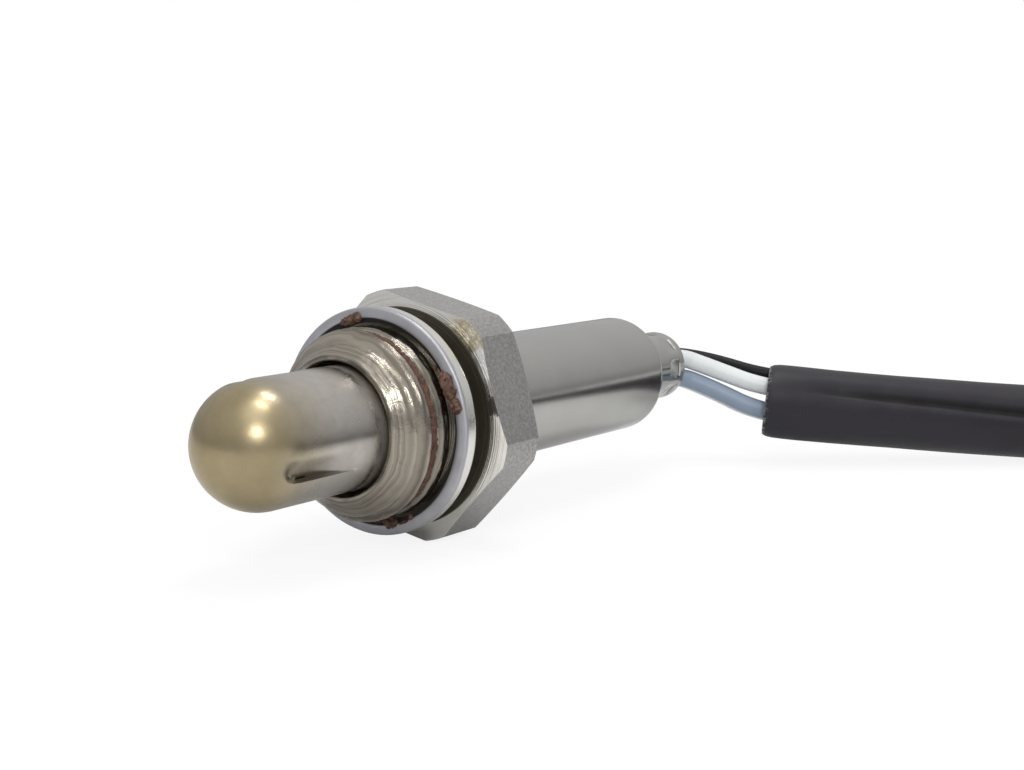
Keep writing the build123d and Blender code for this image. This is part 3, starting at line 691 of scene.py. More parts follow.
def chamfer_material(look):
    """Polished turned corners of the hexagon, with a scuff, a golden patch and a painted highlight in
    near-white.
    """
    made = Surface("hexagon_chamfer_steel")
    stain = made.stains(2.2, 0.35, 0.12)
    grain = made.grain(0.5)
    base = made.tinge(look.polished, stain, 0.3, (0.5, 0.43, 0.28))
    doubled = made.times(made.grain(0.22, 0.7), 2.0)
    tan = made.blend(made.span(grain, 0.4, 0.6), (0.8, 0.73, 0.55), (0.48, 0.42, 0.28))
    base = made.tinge(base, made.near(GILDED, 1.6, 3.0), 0.85, tan)
    # painted highlight: a near-white patch where a lamp's glint shows
    shine = made.span(made.times(made.near(PAINTED_HIGHLIGHT, 1.0, 2.2), doubled), 0.4, 0.6)
    base = made.blend(shine, base, (1.0, 1.0, 0.99))
    scuff = made.span(made.times(made.near(SCUFF, 0.2, 1.9), doubled), 0.5, 0.62)
    base = made.blend(scuff, base, (0.1, 0.09, 0.08))
    rough = made.plus(made.span(stain, 0, 1, 0.1, 0.18), made.times(scuff, 0.35))
    return made.done(base, rough, 1.0, (made.use("Face Turning", Spacing=0.12), 0.02), (grain, 0.01))


def face_material(look):
    """Flat front face of the hexagon: baked dark and painted with the shade behind the gasket, with fine rings.
    """
    made = Surface("hexagon_face_steel")
    face = made.use("Face Turning", Spacing=0.2)
    soot_and_shade = made.stains(2.5, 0.5, 0.3)
    # baked stain with painted shade from the gasket, in blotches
    base = made.shade(soot_and_shade, look.soot_and_shade, 0.6)
    base = made.blend(made.span(face, 0.58, 0.72, 0.0, 0.5), base, (0.24, 0.22, 0.18))
    return made.done(base, made.span(soot_and_shade, 0, 1, 0.3, 0.45), 0.8, (face, 0.04),
                     (made.grain(0.25, 0.65), 0.02))


def flat_material(look):
    """Drawn hexagon flats: grainy and matte."""
    made = Surface("hexagon_flat_steel")
    grain = made.grain(0.28, 0.75)
    base = made.blend(made.span(grain, 0.42, 0.62), tone(look.flats, 0.66), tone(look.flats, 0.98))
    base = made.tinge(base, made.stains(4.0, 0.5, 0.35), 0.25, (0.3, 0.29, 0.34))
    return made.done(base, made.span(grain, 0.3, 0.7, 0.5, 0.36), 1.0, (grain, 0.05))


def gasket_material(look):
    """Crushed sheet steel: satin and blue-grey in front, with a painted highlight round its rear edge and
    painted shade in its bore.
    """
    made = Surface("gasket_steel")
    cloud = made.stains(2.0, 0.5, 0.3)
    place = made.plus(made.part("Y"), made.times(cloud, 0.3 * MM))
    # painted highlight: the rear of the edge takes the polished colour and less roughness
    rubbed = made.span(place, EDGE_HIGHLIGHT_Y[0] * MM, EDGE_HIGHLIGHT_Y[1] * MM)
    base = made.blend(rubbed, made.shade(cloud, look.gasket, 0.8), look.polished)
    # painted shade in the bore: near-black and less metallic
    inside = made.span(made.use("Axis Distance"), (GASKET_BORE_R + 0.42) * MM, (GASKET_BORE_R + 0.58) * MM,
                       1.0, 0.0)
    base = made.blend(inside, base, (0.045, 0.042, 0.04))
    rough = made.minus(made.span(cloud, 0, 1, 0.44, 0.58), made.times(rubbed, 0.28))
    return made.done(base, rough, made.span(inside, 0, 1, 1.0, 0.3), (made.grain(0.2), 0.014))


def casing_material(look):
    """Drawn casing: clean and satin, with faint rings and blotches."""
    made = Surface("casing_steel")
    cloud = made.stains(6.0, 0.5, 0.4)
    return made.done(made.shade(cloud, look.casing, 0.87), made.span(cloud, 0, 1, 0.15, 0.21), 1.0,
                     (made.use("Turning Marks", Spacing=0.3, Waver=0.1), 0.004), (made.grain(0.18), 0.006))


def paste_material(look):
    """Dried copper paste, with ochre patches and a few bright flakes."""
    made = Surface("copper_paste")
    grain = made.grain(0.4, 0.7)
    base = made.blend(made.span(grain, 0.4, 0.62), tone(look.paste, 0.22), tone(look.paste, 1.35))
    base = made.tinge(base, made.stains(0.7, 0.45, 0.1), 0.55, (0.22, 0.14, 0.07))
    bright = made.span(made.grain(0.16, 0.5), 0.62, 0.7)
    base = made.tinge(base, bright, 0.55, (0.62, 0.36, 0.26))
    return made.done(base, made.span(grain, 0.3, 0.7, 0.36, 0.56), made.span(bright, 0, 1, 0.15, 0.85),
                     (grain, 0.22))


def insulation_material(name, colour, soil):
    """Extruded wire insulation, a little soiled."""
    made = Surface(name)
    cloud = made.stains(2.5, 0.42, 0.25)
    base = made.tinge(colour, cloud, soil, tone(colour, 0.55))
    dark = max(colour) < 0.05
    return made.done(base, made.span(cloud, 0, 1, 0.34, 0.5), 0.0, (made.grain(0.3, 0.5), 0.01),
                     specular=0.15 if dark else 0.5)


def sleeving_material(look):
    """Dark heat-shrunk sleeving with a dull sheen, fine dust, pale cut ends and painted shade along its crease.
    """
    made = Surface("lead_sleeving")
    cloud = made.stains(7.0, 0.5, 0.3)
    grain = made.grain(0.4)
    dust = made.stains(0.5, 0.3, 0.05)
    base = made.tinge(made.shade(cloud, look.sleeving, 1.25), dust, 0.025, (0.5, 0.5, 0.5))
    flecks = made.span(made.times(made.attribute("frayed"), grain), 0.42, 0.6)
    base = made.tinge(base, flecks, 0.5, (0.45, 0.45, 0.46))
    # painted shade: the crease is darkened almost to black
    base = made.blend(made.span(made.attribute("crease_shade"), 0.1, 0.9, 0.0, 0.9), base, (0.003, 0.003, 0.003))
    return made.done(base, made.span(cloud, 0, 1, 0.42, 0.52), 0.0, (made.grain(5.0, 0.4), 0.25),
                     (grain, 0.02), specular=0.24)


def moulded_material(name, colour, roughness=0.45, grain_size=0.25):
    """Moulded plastic or rubber with a fine spark-eroded grain."""
    made = Surface(name)
    grain = made.grain(grain_size, 0.7)
    rough = made.span(grain, 0.3, 0.7, roughness - 0.06, roughness + 0.1)
    return made.done(made.shade(made.stains(4.0, 0.45, 0.3), colour, 0.8), rough, 0.0, (grain, 0.02))


def ceramic_material(name, colour):
    """Fired ceramic or pressed powder."""
    made = Surface(name)
    grain = made.grain(0.2, 0.7)
    base = made.blend(made.span(grain, 0.4, 0.6), tone(colour, 0.88), colour)
    return made.done(base, 0.6, 0.0, (grain, 0.01))


def metal_material(name, colour, roughness=0.3):
    """Small metal piece, pressed or drawn."""
    made = Surface(name)
    cloud = made.stains(1.5, 0.5, 0.3)
    return made.done(made.shade(cloud, colour, 0.8), made.span(cloud, 0, 1, roughness, roughness + 0.12), 1.0,
                     (made.grain(0.15), 0.008))


# ================================================================== settings
def colour_setting(name, description, default):
    return FloatVectorProperty(name=name, description=description, default=default, subtype="COLOR",
                               min=0, max=1)


def number_setting(name, description, default, **limits):
    return FloatProperty(name=name, description=description, default=default, **limits)


class OXYSENSOR_PG_metal(bpy.types.PropertyGroup):
    """Colours of the metal pieces."""
    steel: colour_setting("Steel", "Turned steel", (0.52, 0.49, 0.45))
    brown_steel: colour_setting("Stained Steel", "Steel stained by heat", (0.4, 0.35, 0.28))
    shell: colour_setting("Shell", "Turned steel of the shell", (0.3, 0.277, 0.24))
    polished: colour_setting("Polished", "Steel that is turned smooth or rubbed bright", (0.74, 0.72, 0.68))
    # the hexagon face's colour holds its baked stain and painted shade from the gasket
    soot_and_shade: colour_setting("Baked Face", "Hexagon's face, baked dark", (0.11, 0.097, 0.073))
    flats: colour_setting("Flats", "Hexagon's flats", (0.485, 0.475, 0.45))
    tip_tint: colour_setting("Tip Tint", "Heat tint at the tip", (0.4, 0.33, 0.2))
    gasket: colour_setting("Gasket", "Gasket's steel", (0.46, 0.46, 0.485))
    casing: colour_setting("Casing", "Casing's steel", (0.45, 0.445, 0.425))
    paste: colour_setting("Paste", "Dried copper paste", (0.12, 0.055, 0.04))


class OXYSENSOR_PG_thread(bpy.types.PropertyGroup):
    """Sizes of the worn thread."""
    groove: number_setting("Groove", "Depth of the thread's groove, in mm", 0.5, min=0.2, max=1.0)
    groove_y: number_setting("Groove Place", "Middle of the last groove at +X, in mm", -6.05)
    wear: number_setting("Wear", "Height of the dents in the crests, in mm", 0.05, min=0, max=0.3)


class OXYSENSOR_PG_lead(bpy.types.PropertyGroup):
    """Colours of the wires and the sleeving, and its crease."""
    white: colour_setting("White", "Heater wires", (0.7, 0.73, 0.73))
    grey: colour_setting("Grey", "Ground wire", (0.24, 0.3, 0.385))
    black: colour_setting("Black", "Signal wire", (0.007, 0.007, 0.008))
    sleeving: colour_setting("Sleeving", "Sleeving round the wires", (0.02, 0.018, 0.023))
    crease: number_setting("Crease", "Depth of the sleeving's crease, in mm", 0.6, min=0, max=1)


class OXYSENSOR_PG_stage(bpy.types.PropertyGroup):
    """Light and floor."""
    floor: colour_setting("Floor", "Colour of the floor", (0.8, 0.8, 0.8))
    world: number_setting("Room Light", "Strength of the light from all sides", 0.8, min=0)
    key: number_setting("Key Light", "Power of the large soft lamp", 0.8, min=0, unit="POWER")
    bars: number_setting("Ceiling Lights", "Power of the two long lamps", 0.9, min=0, unit="POWER")
    spot: number_setting("Small Light", "Power of the small lamp", 0.7, min=0, unit="POWER")


class OXYSENSOR_PG_all(bpy.types.PropertyGroup):
    """All settings."""
    metal: PointerProperty(type=OXYSENSOR_PG_metal)
    thread: PointerProperty(type=OXYSENSOR_PG_thread)
    lead: PointerProperty(type=OXYSENSOR_PG_lead)
    stage: PointerProperty(type=OXYSENSOR_PG_stage)


def settings():
    return bpy.context.scene.oxygen_sensor


# ================================================================== camera and cords
class OXYSENSOR_OT_camera(bpy.types.Operator):
    """Makes the camera"""
    bl_idname = "oxygen_sensor.camera"
    bl_label = "Camera"

    def execute(self, context):
        data = bpy.data.cameras.new("camera")
        data.sensor_width = SENSOR_WIDTH
        data.lens = FOCAL_PIXELS * SENSOR_WIDTH / IMAGE_WIDTH
        data.clip_start, data.clip_end = 0.01, 10.0
        camera = placed("camera", data)
        turn = Matrix((CAMERA_RIGHT, CAMERA_UP, CAMERA_RIGHT.cross(CAMERA_UP))).transposed()
        camera.matrix_world = Matrix.Translation(CAMERA_PLACE * MM) @ turn.to_4x4()
        context.scene.camera = camera
        return {"FINISHED"}


class OXYSENSOR_OT_wires(bpy.types.Operator):
    """Lays the four wires between the casing and the sleeving, and the four at the plug"""
    bl_idname = "oxygen_sensor.wires"
    bl_label = "Wires"

    def execute(self, context):
        look = settings().lead
        made = {colour: insulation_material(colour + "_insulation", getattr(look, colour), 0.25)
                for colour in ("white", "grey", "black")}
        for name, (degrees, diameter, run, share, mouth) in WIRES.items():
            route = sensor_wire_route(degrees, run, share, *mouth)
            exit_place = (route[0].x * MM, BOSS_REAR_Y * MM, route[0].z * MM)
            self.lay(name, route, diameter, made, exit_place, "object")
        for name, (diameter, side, row) in PLUG_WIRES.items():
            route = plug_wire_route(side, row)
            self.lay(name, route, diameter, made, route[0] * MM, "connector", [nodes["plug_blades"]])
        return {"FINISHED"}

    def lay(self, name, route, diameter, made, exit_place, far_end, going=()):
        """Lays a wire along its route."""
        colour = next(word for word in made if word in name)
        piece = as_piece(spline_curve(name + "_run", route, diameter), [made[colour]], [name])
        length_of(line_points(piece))


class OXYSENSOR_OT_sleeving(bpy.types.Operator):
    """Makes the sleeved lead as one mesh tube along its line, with a crease and turned-in ends"""
    bl_idname = "oxygen_sensor.sleeving"
    bl_label = "Sleeving"
    sides: IntProperty(name="Sides", description="Faces round the sleeving", default=96, min=8)

    def execute(self, context):
        line = spline_curve("lead_line", lead_route(), LEAD_D, resolution=14)
        points = line_points(line)
        bpy.data.objects.remove(line)
        start, end = points[:2], points[-2:]
        points[1:1] = [start[0].lerp(start[1], share) for share in END_RINGS]
        points[-1:-1] = [end[1].lerp(end[0], share) for share in END_RINGS[::-1]]
        bm = bmesh.new()
        self.skin(bm, path_rings(points))
        piece = as_piece(mesh_object("sleeved_lead", bm, 60), [sleeving_material(settings().lead)],
                         ["lead_sleeve", "lead_coil"])
        return {"FINISHED"}

    def skin(self, bm, rings):
        """Circles along the path, bridged, then turned in at both ends."""
        loops = []
        frayed = bm.verts.layers.float.new("frayed")
        crease_shade = bm.verts.layers.float.new("crease_shade")
        gone = 0.0
        whole = length_of([ring[0] for ring in rings])
        for k, (point, along, aside, up) in enumerate(rings):
            gone += (point - rings[max(k - 1, 0)][0]).length
            tip = min(gone, whole - gone) / MM
            turn = Matrix((aside, up, along)).transposed().to_4x4()
            loop = bmesh.ops.create_circle(bm, segments=self.sides, radius=LEAD_D / 2 * MM,
                                           matrix=Matrix.Translation(point) @ turn)["verts"]
            for vert in loop:
                vert[crease_shade], dent = self.dent(vert.co - point, aside, up, gone / MM)
                vert.co += dent
                out = (vert.co - point).normalized()
                vert.co -= out * END_ROLL * MM * math.exp(-tip / END_ROLL_RUN)
                vert.co -= along * out.dot(aside) * MOUTH_SLANT * MM * max(0.0, 1 - gone / MM / MOUTH_SLANT_RUN)
                vert[frayed] = max(0.0, 1 - tip / FRAYED_RUN)
            loops.append(loop)
        for first, second in zip(loops, loops[1:]):
            bmesh.ops.bridge_loops(bm, edges=edges_of(first) + edges_of(second))
        for ring, loop, way in ((rings[0], loops[0], 1), (rings[-1], loops[-1], -1)):
            self.hollow(bm, ring, loop, way)

    def dent(self, out, aside, up, run):
        """The long crease's share at a point, a run in millimetres from the mouth, and the way it moves."""
        angle = math.atan2(out.dot(up), out.dot(aside))
        middle = math.radians(CREASE_ANGLE - min(run, CREASE_TURN_END) * CREASE_TURN)
        off = angle - middle - CREASE_SWAY * math.sin(run / SWAY_RUN)
        share = math.exp(-(off / CREASE_WIDTHS[off >= 0]) ** 2)
        share *= clamp((run - CREASE_START) / CREASE_RISE)
        share *= math.exp(-max(0.0, run - CREASE_END) / CREASE_FADE)
        slow = noise.noise(Vector((run / SWAY_RUN, angle * 0.9, 3.1))) * LEAD_WAVE
        return share, out.normalized() * MM * (slow - settings().lead.crease * share)

    def hollow(self, bm, ring, loop, way):
        """Turns an end in by the sleeving's wall, and closes it round the wires."""
        point, along = ring[:2]
        edges = edges_of(loop)
        for scale, depth in ((1 - LEAD_WALL / (LEAD_D / 2), 0.0), (0.96, MOUTH_SHRUNK)):
            made = bmesh.ops.extrude_edge_only(bm, edges=edges)["geom"]
            verts = [item for item in made if isinstance(item, bmesh.types.BMVert)]
            edges = edges_of(verts)
            for vert in verts:
                vert.co = point + (vert.co - point) * scale + along * way * depth * MM
        bmesh.ops.edgeloop_fill(bm, edges=edges)


# ================================================================== sensor
class OXYSENSOR_OT_tube(bpy.types.Operator):
    """Makes the outer protective tube with its pressed-in louvres, and dresses the inner tube"""
    bl_idname = "oxygen_sensor.tube"
    bl_label = "Protective Tubes"
    steps: IntProperty(name="Steps", description="Faces round the tube, a multiple of the louvres", default=300,
                       min=90)
    row: number_setting("Row", "Height of a row of faces along the louvres, in mm", 0.12, min=0.05)

    def execute(self, context):
        inner_r = TUBE_R - TUBE_WALL
        bm = bmesh.new()
        outline = self.side(TUBE_R) + [(TUBE_R, RECESS_Y - 0.08), (TUBE_R - 0.08, RECESS_Y)]
        outline += [(inner_r, RECESS_Y)] + self.side(inner_r)[::-1]
        spin_outline(bm, outline, self.steps)
        bmesh.ops.rotate(bm, verts=bm.verts, cent=(0, 0, 0), matrix=Matrix.Rotation(-SHEAR_ANGLE, 3, "Y"))
        self.press(bm)
        piece = as_piece(mesh_object("louvred_tube", bm), [tube_material(settings().metal)],
                         ["outer_protective_tube"])
        joined(piece, self.slots(), "DIFFERENCE")
        resmooth(piece, 38)
        # soot and painted shade kept at the points, darkest in the louvres
        mark_points(piece, "soot_and_shade", self.soot_and_shade)
        dress(metal_material("inner_tube_steel", (0.42, 0.4, 0.36), 0.35), "inner_protective_tube")
        return {"FINISHED"}

    def side(self, radius):
        """The tube's outline from its pole to its rear end, with close rows along the louvres."""
        first, last = LOUVRE_FRONT_Y - 0.5, LOUVRE_REAR_Y + 0.4
        low = math.degrees(math.asin((first - TUBE_DOME_Y) / radius))
        points = arc(0, TUBE_DOME_Y, radius, -90, low, 22)
        points[0] = (0, TUBE_DOME_Y - radius)
        count = round((last - first) / self.row)
        for k in range(1, count + 1):
            y = first + (last - first) * k / count
            points.append((math.sqrt(radius ** 2 - min(0.0, y - TUBE_DOME_Y) ** 2), y))
        return points + [(radius, y) for y in (-10.5, -9.4, -8.0, -6.5)]

    def press(self, bm):
        """Sinks the louvres: each bends in from its upper edge and is sheared at its lower edge and nose."""
        step = 2 * math.pi / self.steps
        for vert in bm.verts:
            radius, y, angle = round_axis(vert.co)
            if not LOUVRE_FRONT_Y <= y <= LOUVRE_REAR_Y:
                continue
            outside = math.hypot(radius, min(0.0, y - TUBE_DOME_Y)) > TUBE_R - TUBE_WALL / 2
            off = self.from_edge(angle)
            base = angle - off
            for edge, place in ((0, -SHEAR_GAP), (step, SHEAR_GAP)):
                if outside and abs(off - edge) < step * 0.3:
                    off = place / TUBE_R
                    break
            radius -= self.depth(off * TUBE_R + (0.0 if outside else INSIDE_SHIFT), y)
            angle = base + off
            vert.co = Vector((math.cos(angle) * radius, y, math.sin(angle) * radius)) * MM

    def from_edge(self, angle):
        """Angle from the nearest louvre's sheared edge."""
        pitch = 2 * math.pi / LOUVRE_COUNT
        return (angle - SHEAR_ANGLE + pitch / 2) % pitch - pitch / 2

    def depth(self, run, y):
        """How deep a louvre is at a way from its sheared edge, in millimetres."""
        if not 0 < run < LOUVRE_WIDTH:
            return 0.0
        share = 1 - run / LOUVRE_WIDTH
        low = max(0.0, 2 * share - 1)
        nose = LOUVRE_FRONT_Y + LOUVRE_NOSE * (1 - math.sqrt(1 - low * low))
        rise = clamp((y - nose) / LOUVRE_RISE)
        fade = clamp((LOUVRE_REAR_Y - y) / LOUVRE_RUN_OUT)
        bend = share * share / (share * share + 0.25 * (1 - share))
        return LOUVRE_DEPTH * bend * smooth(rise) * smooth(fade)

    def soot_and_shade(self, radius, y, angle):
        """Share of soot and painted shade, darkest in the deep parts of the louvres and at their noses."""
        off = self.from_edge(angle)
        deep = self.depth(max(off * TUBE_R, 0.001), y) / LOUVRE_DEPTH
        nose = min(1.0, 6 * deep) * math.exp(-max(0.0, y - LOUVRE_FRONT_Y - LOUVRE_NOSE) / 0.5)
        return max(deep ** 1.2, nose) if off > -0.02 else 0.0

    def slots(self):
        """Thin slots through the wall at the foot of each sheared edge."""
        bm = bmesh.new()
        front, rear = LOUVRE_FRONT_Y + LOUVRE_NOSE + 0.3, LOUVRE_REAR_Y - LOUVRE_RUN_OUT
        height = LOUVRE_DEPTH - TUBE_WALL
        place = Vector((TUBE_R - LOUVRE_DEPTH + height / 2, (front + rear) / 2, SLOT_ASIDE)) * MM
        for k in range(LOUVRE_COUNT):
            made = bmesh.ops.create_cube(bm, size=MM)["verts"]
            bmesh.ops.scale(bm, vec=(height, rear - front, SLOT_WIDTH), verts=made)
            bmesh.ops.translate(bm, vec=place, verts=made)
            turn = Matrix.Rotation(-(SHEAR_ANGLE + k * 2 * math.pi / LOUVRE_COUNT), 3, "Y")
            bmesh.ops.rotate(bm, cent=(0, 0, 0), matrix=turn, verts=made)
        return mesh_object("slots", bm)


def thread_phase(y, angle, thread):
    """Distance along the axis from the middle of the nearest groove, in millimetres."""
    offset = y - thread.groove_y + THREAD_PITCH * angle / (2 * math.pi)
    return (offset + THREAD_PITCH / 2) % THREAD_PITCH - THREAD_PITCH / 2


def worn_radius(y, angle, thread):
    """Radius of the shell's outside: a lead-in that runs into worn crests, with the groove cut in."""
    lead_in = RIM_R + RIM_FLAT + (y - RIM_Y)
    outside = THREAD_R - math.log(math.exp(-LEAD_IN_EDGE * (lead_in - THREAD_R)) + 1) / LEAD_IN_EDGE
    phase = thread_phase(y, angle, thread)
    groove = max(0.0, 1 - abs(phase) / GROOVE_WIDTHS[phase >= 0])
    groove = smooth(groove) if groove < 0.5 else groove
    turns = (y - thread.groove_y) / THREAD_PITCH + angle / (2 * math.pi)
    run_out = min(1.0, (angle + math.pi) / RUN_OUT_ANGLE)
    if turns > 0.1:
        outside -= LAST_CREST_DROP * smooth(clamp((LAST_CREST_TURN - turns) / LAST_CREST_REACH)) * run_out
    if turns > 0.5:
        return outside
    if turns > -0.5:
        groove *= run_out
    depth = between(y, (*FRONT_GROOVES, (-6.5, thread.groove), (-5.1, thread.groove), (-4.5, 0.3)))
    return min(outside, THREAD_R - depth * groove) if turns > 0.1 else outside - depth * groove


class OXYSENSOR_OT_shell(bpy.types.Operator):
    """Makes the shell: worn thread, relief neck, hexagon with turned faces, collar"""
    bl_idname = "oxygen_sensor.shell"
    bl_label = "Shell"
    steps: IntProperty(name="Steps", description="Faces round the shell", default=240, min=48)
    row: number_setting("Row", "Height of a row of faces along the thread, in mm", 0.07, min=0.02)

    def execute(self, context):
        look = settings().metal
        first_row_y = RIM_Y + 0.13
        rows = int((THREAD_REAR_Y - first_row_y) / self.row) + 1
        bm = bmesh.new()
        seat_r = INNER_TUBE_R + 0.03
        outline = [(FRONT_BORE_R, INNER_SEAT_Y), (seat_r, INNER_SEAT_Y), (seat_r, SPIGOT_Y),
                   (SPIGOT_R, SPIGOT_Y), (SPIGOT_R, RECESS_Y), (RIM_R, RECESS_Y)]
        outline += arc(RIM_R + 0.15, RIM_Y + 0.15, 0.15, 180, 270, 4)
        outline += arc(RIM_R + RIM_FLAT - 0.12, RIM_Y + 0.3, 0.3, 270, 315, 4)
        outline += [(THREAD_R, first_row_y + self.row * k) for k in range(rows)]
        outline += [(THREAD_R - 0.06, THREAD_REAR_Y + 0.04), (NECK_R, THREAD_REAR_Y + THREAD_R - NECK_R),
                    (NECK_R, 0.0), (NECK_R, HEX_LENGTH), (COLLAR_R, HEX_LENGTH), (COLLAR_R, COLLAR_REAR_Y),
                    (LIP_R, COLLAR_REAR_Y), (LIP_R, LIP_Y), (SHELL_BORE_R, LIP_Y), (SHELL_BORE_R, LEDGE_Y),
                    (FRONT_BORE_R, LEDGE_Y)]
        spin_outline(bm, outline, self.steps)
        self.cut_thread(bm)
        materials = [shell_material(look), flat_material(look), chamfer_material(look), face_material(look)]
        piece = as_piece(mesh_object("threaded_shell", bm), materials, ["sensor_shell"])
        joined(piece, self.hexagon(), "UNION")
        resmooth(piece, 24)
        self.mark_faces(piece)
        mark_points(piece, "paste", self.paste)
        return {"FINISHED"}

    def cut_thread(self, bm):
        """Gives the outside its worn thread."""
        thread = settings().thread
        for vert in bm.verts:
            radius, y, angle = round_axis(vert.co)
            if radius < THREAD_R - 1e-3:
                continue
            x, z = vert.co.x / MM, vert.co.z / MM
            dents = noise.noise(Vector((x * 0.8, y * 2.2, z * 0.8))) * thread.wear
            dents += noise.noise(Vector((x * 2.5, y * 4.0, z * 2.5))) * thread.wear * 0.4
            share = (worn_radius(y, angle, thread) + dents) / radius
            vert.co = Vector((x * share, y, z * share)) * MM

    def hexagon(self):
        """Hexagonal bar, its corners turned off at both ends."""
        bm = bmesh.new()
        bmesh.ops.create_circle(bm, segments=6, radius=HEX_SHARP_R * MM, cap_ends=True)
        turn = Matrix.Rotation(-HEX_TURN, 4, "Y") @ Matrix.Rotation(math.pi / 2, 4, "X")
        bmesh.ops.transform(bm, matrix=turn, verts=bm.verts)
        grown = bmesh.ops.extrude_face_region(bm, geom=list(bm.faces))["geom"]
        moved = [item for item in grown if isinstance(item, bmesh.types.BMVert)]
        bmesh.ops.translate(bm, verts=moved, vec=(0, HEX_LENGTH * MM, 0))
        bar = mesh_object("bar", bm)
        bm = bmesh.new()
        bore_r = NECK_R - 0.4
        outline = [(bore_r, 0), (HEX_FACE_R, 0), (HEX_CORNER_R, HEX_CHAMFER),
                   (HEX_CORNER_R, HEX_LENGTH - HEX_CHAMFER), (HEX_FACE_R, HEX_LENGTH), (bore_r, HEX_LENGTH)]
        spin_outline(bm, outline, self.steps)
        joined(bar, mesh_object("turned", bm), "INTERSECT")
        return bar

    def mark_faces(self, piece):
        """Gives the hexagon's flats, its turned corners and its front face their own materials."""
        for face in piece.data.polygons:
            centre, normal = face.center / MM, face.normal
            radius = math.hypot(centre.x, centre.z)
            if abs(centre.y) < 0.01 and normal.y < -0.995:
                face.material_index = 3
            elif -0.01 < centre.y < HEX_LENGTH and radius >= NECK_R + 0.01:
                if abs(normal.x * centre.x + normal.z * centre.z) / radius > 0.8:
                    face.material_index = 1
                elif normal.y < -0.5 or centre.y > 1:
                    face.material_index = 2

    def paste(self, radius, y, angle):
        """Share of dried paste, which fills part of the last groove."""
        if radius <= NECK_R + 0.1:
            return 0.0
        thread = settings().thread
        turn = math.degrees(angle)
        near = max(0.0, 1 - abs(thread_phase(y, angle, thread) - 0.2) / 0.7)
        reach = clamp((PASTE_TURNS[1] - turn) / 20) * clamp((turn - PASTE_TURNS[0]) / 20)
        last = abs(y - thread.groove_y + turn / 360 * THREAD_PITCH) < THREAD_PITCH / 2
        return near * reach if last else 0.0


class OXYSENSOR_OT_gasket(bpy.types.Operator):
    """Makes the crushed captive gasket and the dried paste on it"""
    bl_idname = "oxygen_sensor.gasket"
    bl_label = "Gasket"

    def execute(self, context):
        look = settings().metal
        half = GASKET_THICK / 2
        bore = GASKET_BORE_R
        outline = [(bore, half - 0.35), (bore, -half + 0.42), (bore + 0.12, -half + 0.3),
                   (bore + 0.34, -half + 0.17)]
        outline += arc(bore + 0.52, -half + 0.14, 0.14, 200, 262, 3)
        outline += [(bore + 0.75, -half + 0.01), (bore + 1.0, -half + 0.06)]
        outline += arc(GASKET_R - 0.3, -half + 0.4, 0.3, 285, 350, 5)
        outline += [(GASKET_R, -half + 0.5), (GASKET_R, half - 0.45)]
        outline += arc(GASKET_R - 0.3, half - 0.3, 0.3, 0, 90, 6)
        outline += arc(bore + 0.35, half - 0.35, 0.35, 90, 160, 4)
        ring, paste = bmesh.new(), bmesh.new()
        spin_outline(ring, outline, 200)
        for vert in ring.verts:
            x, y, z = vert.co / MM
            vert.co.y += noise.noise(Vector((x * 0.35, y, z * 0.35))) * GASKET_CRUSH * MM
        for lump in PASTE_LUMPS:
            self.lump(paste, *lump)
        place = Matrix.Translation((0, GASKET_Y * MM, 0)) @ Matrix.Rotation(GASKET_TILT, 4, "Z")
        for bm in (ring, paste):
            bmesh.ops.transform(bm, matrix=place, verts=bm.verts)
        as_piece(mesh_object("crushed_gasket", ring), [gasket_material(look)], ["captive_gasket"])
        as_piece(mesh_object("dried_paste", paste, 80), [paste_material(look)], [])
        return {"FINISHED"}

    def lump(self, bm, middle, reach, radius, half_width, height):
        """One lump of paste: a ball, flattened on the gasket's face, bent round it and roughened."""
        made = bmesh.ops.create_icosphere(bm, subdivisions=4, radius=1.0)["verts"]
        for vert in made:
            along, out, side = vert.co
            rough = 1 + 0.45 * noise.noise(Vector((along * reach * 0.22 + middle, out * 1.3, side * 1.6)))
            fine = 0.13 * noise.noise(Vector((along * reach * 0.9, out * 5 + middle, side * 5)))
            fine += 0.06 * noise.noise(Vector((along * reach * 2.3, out * 11 + middle, side * 11)))
            angle = math.radians(middle + along * reach / 2)
            far = radius + side * half_width * rough + fine
            rise = max(out, -0.3) * height * rough + fine * 0.8
            y = -GASKET_THICK / 2 + 0.02 - rise
            vert.co = Vector((far * math.cos(angle), y, far * math.sin(angle))) * MM


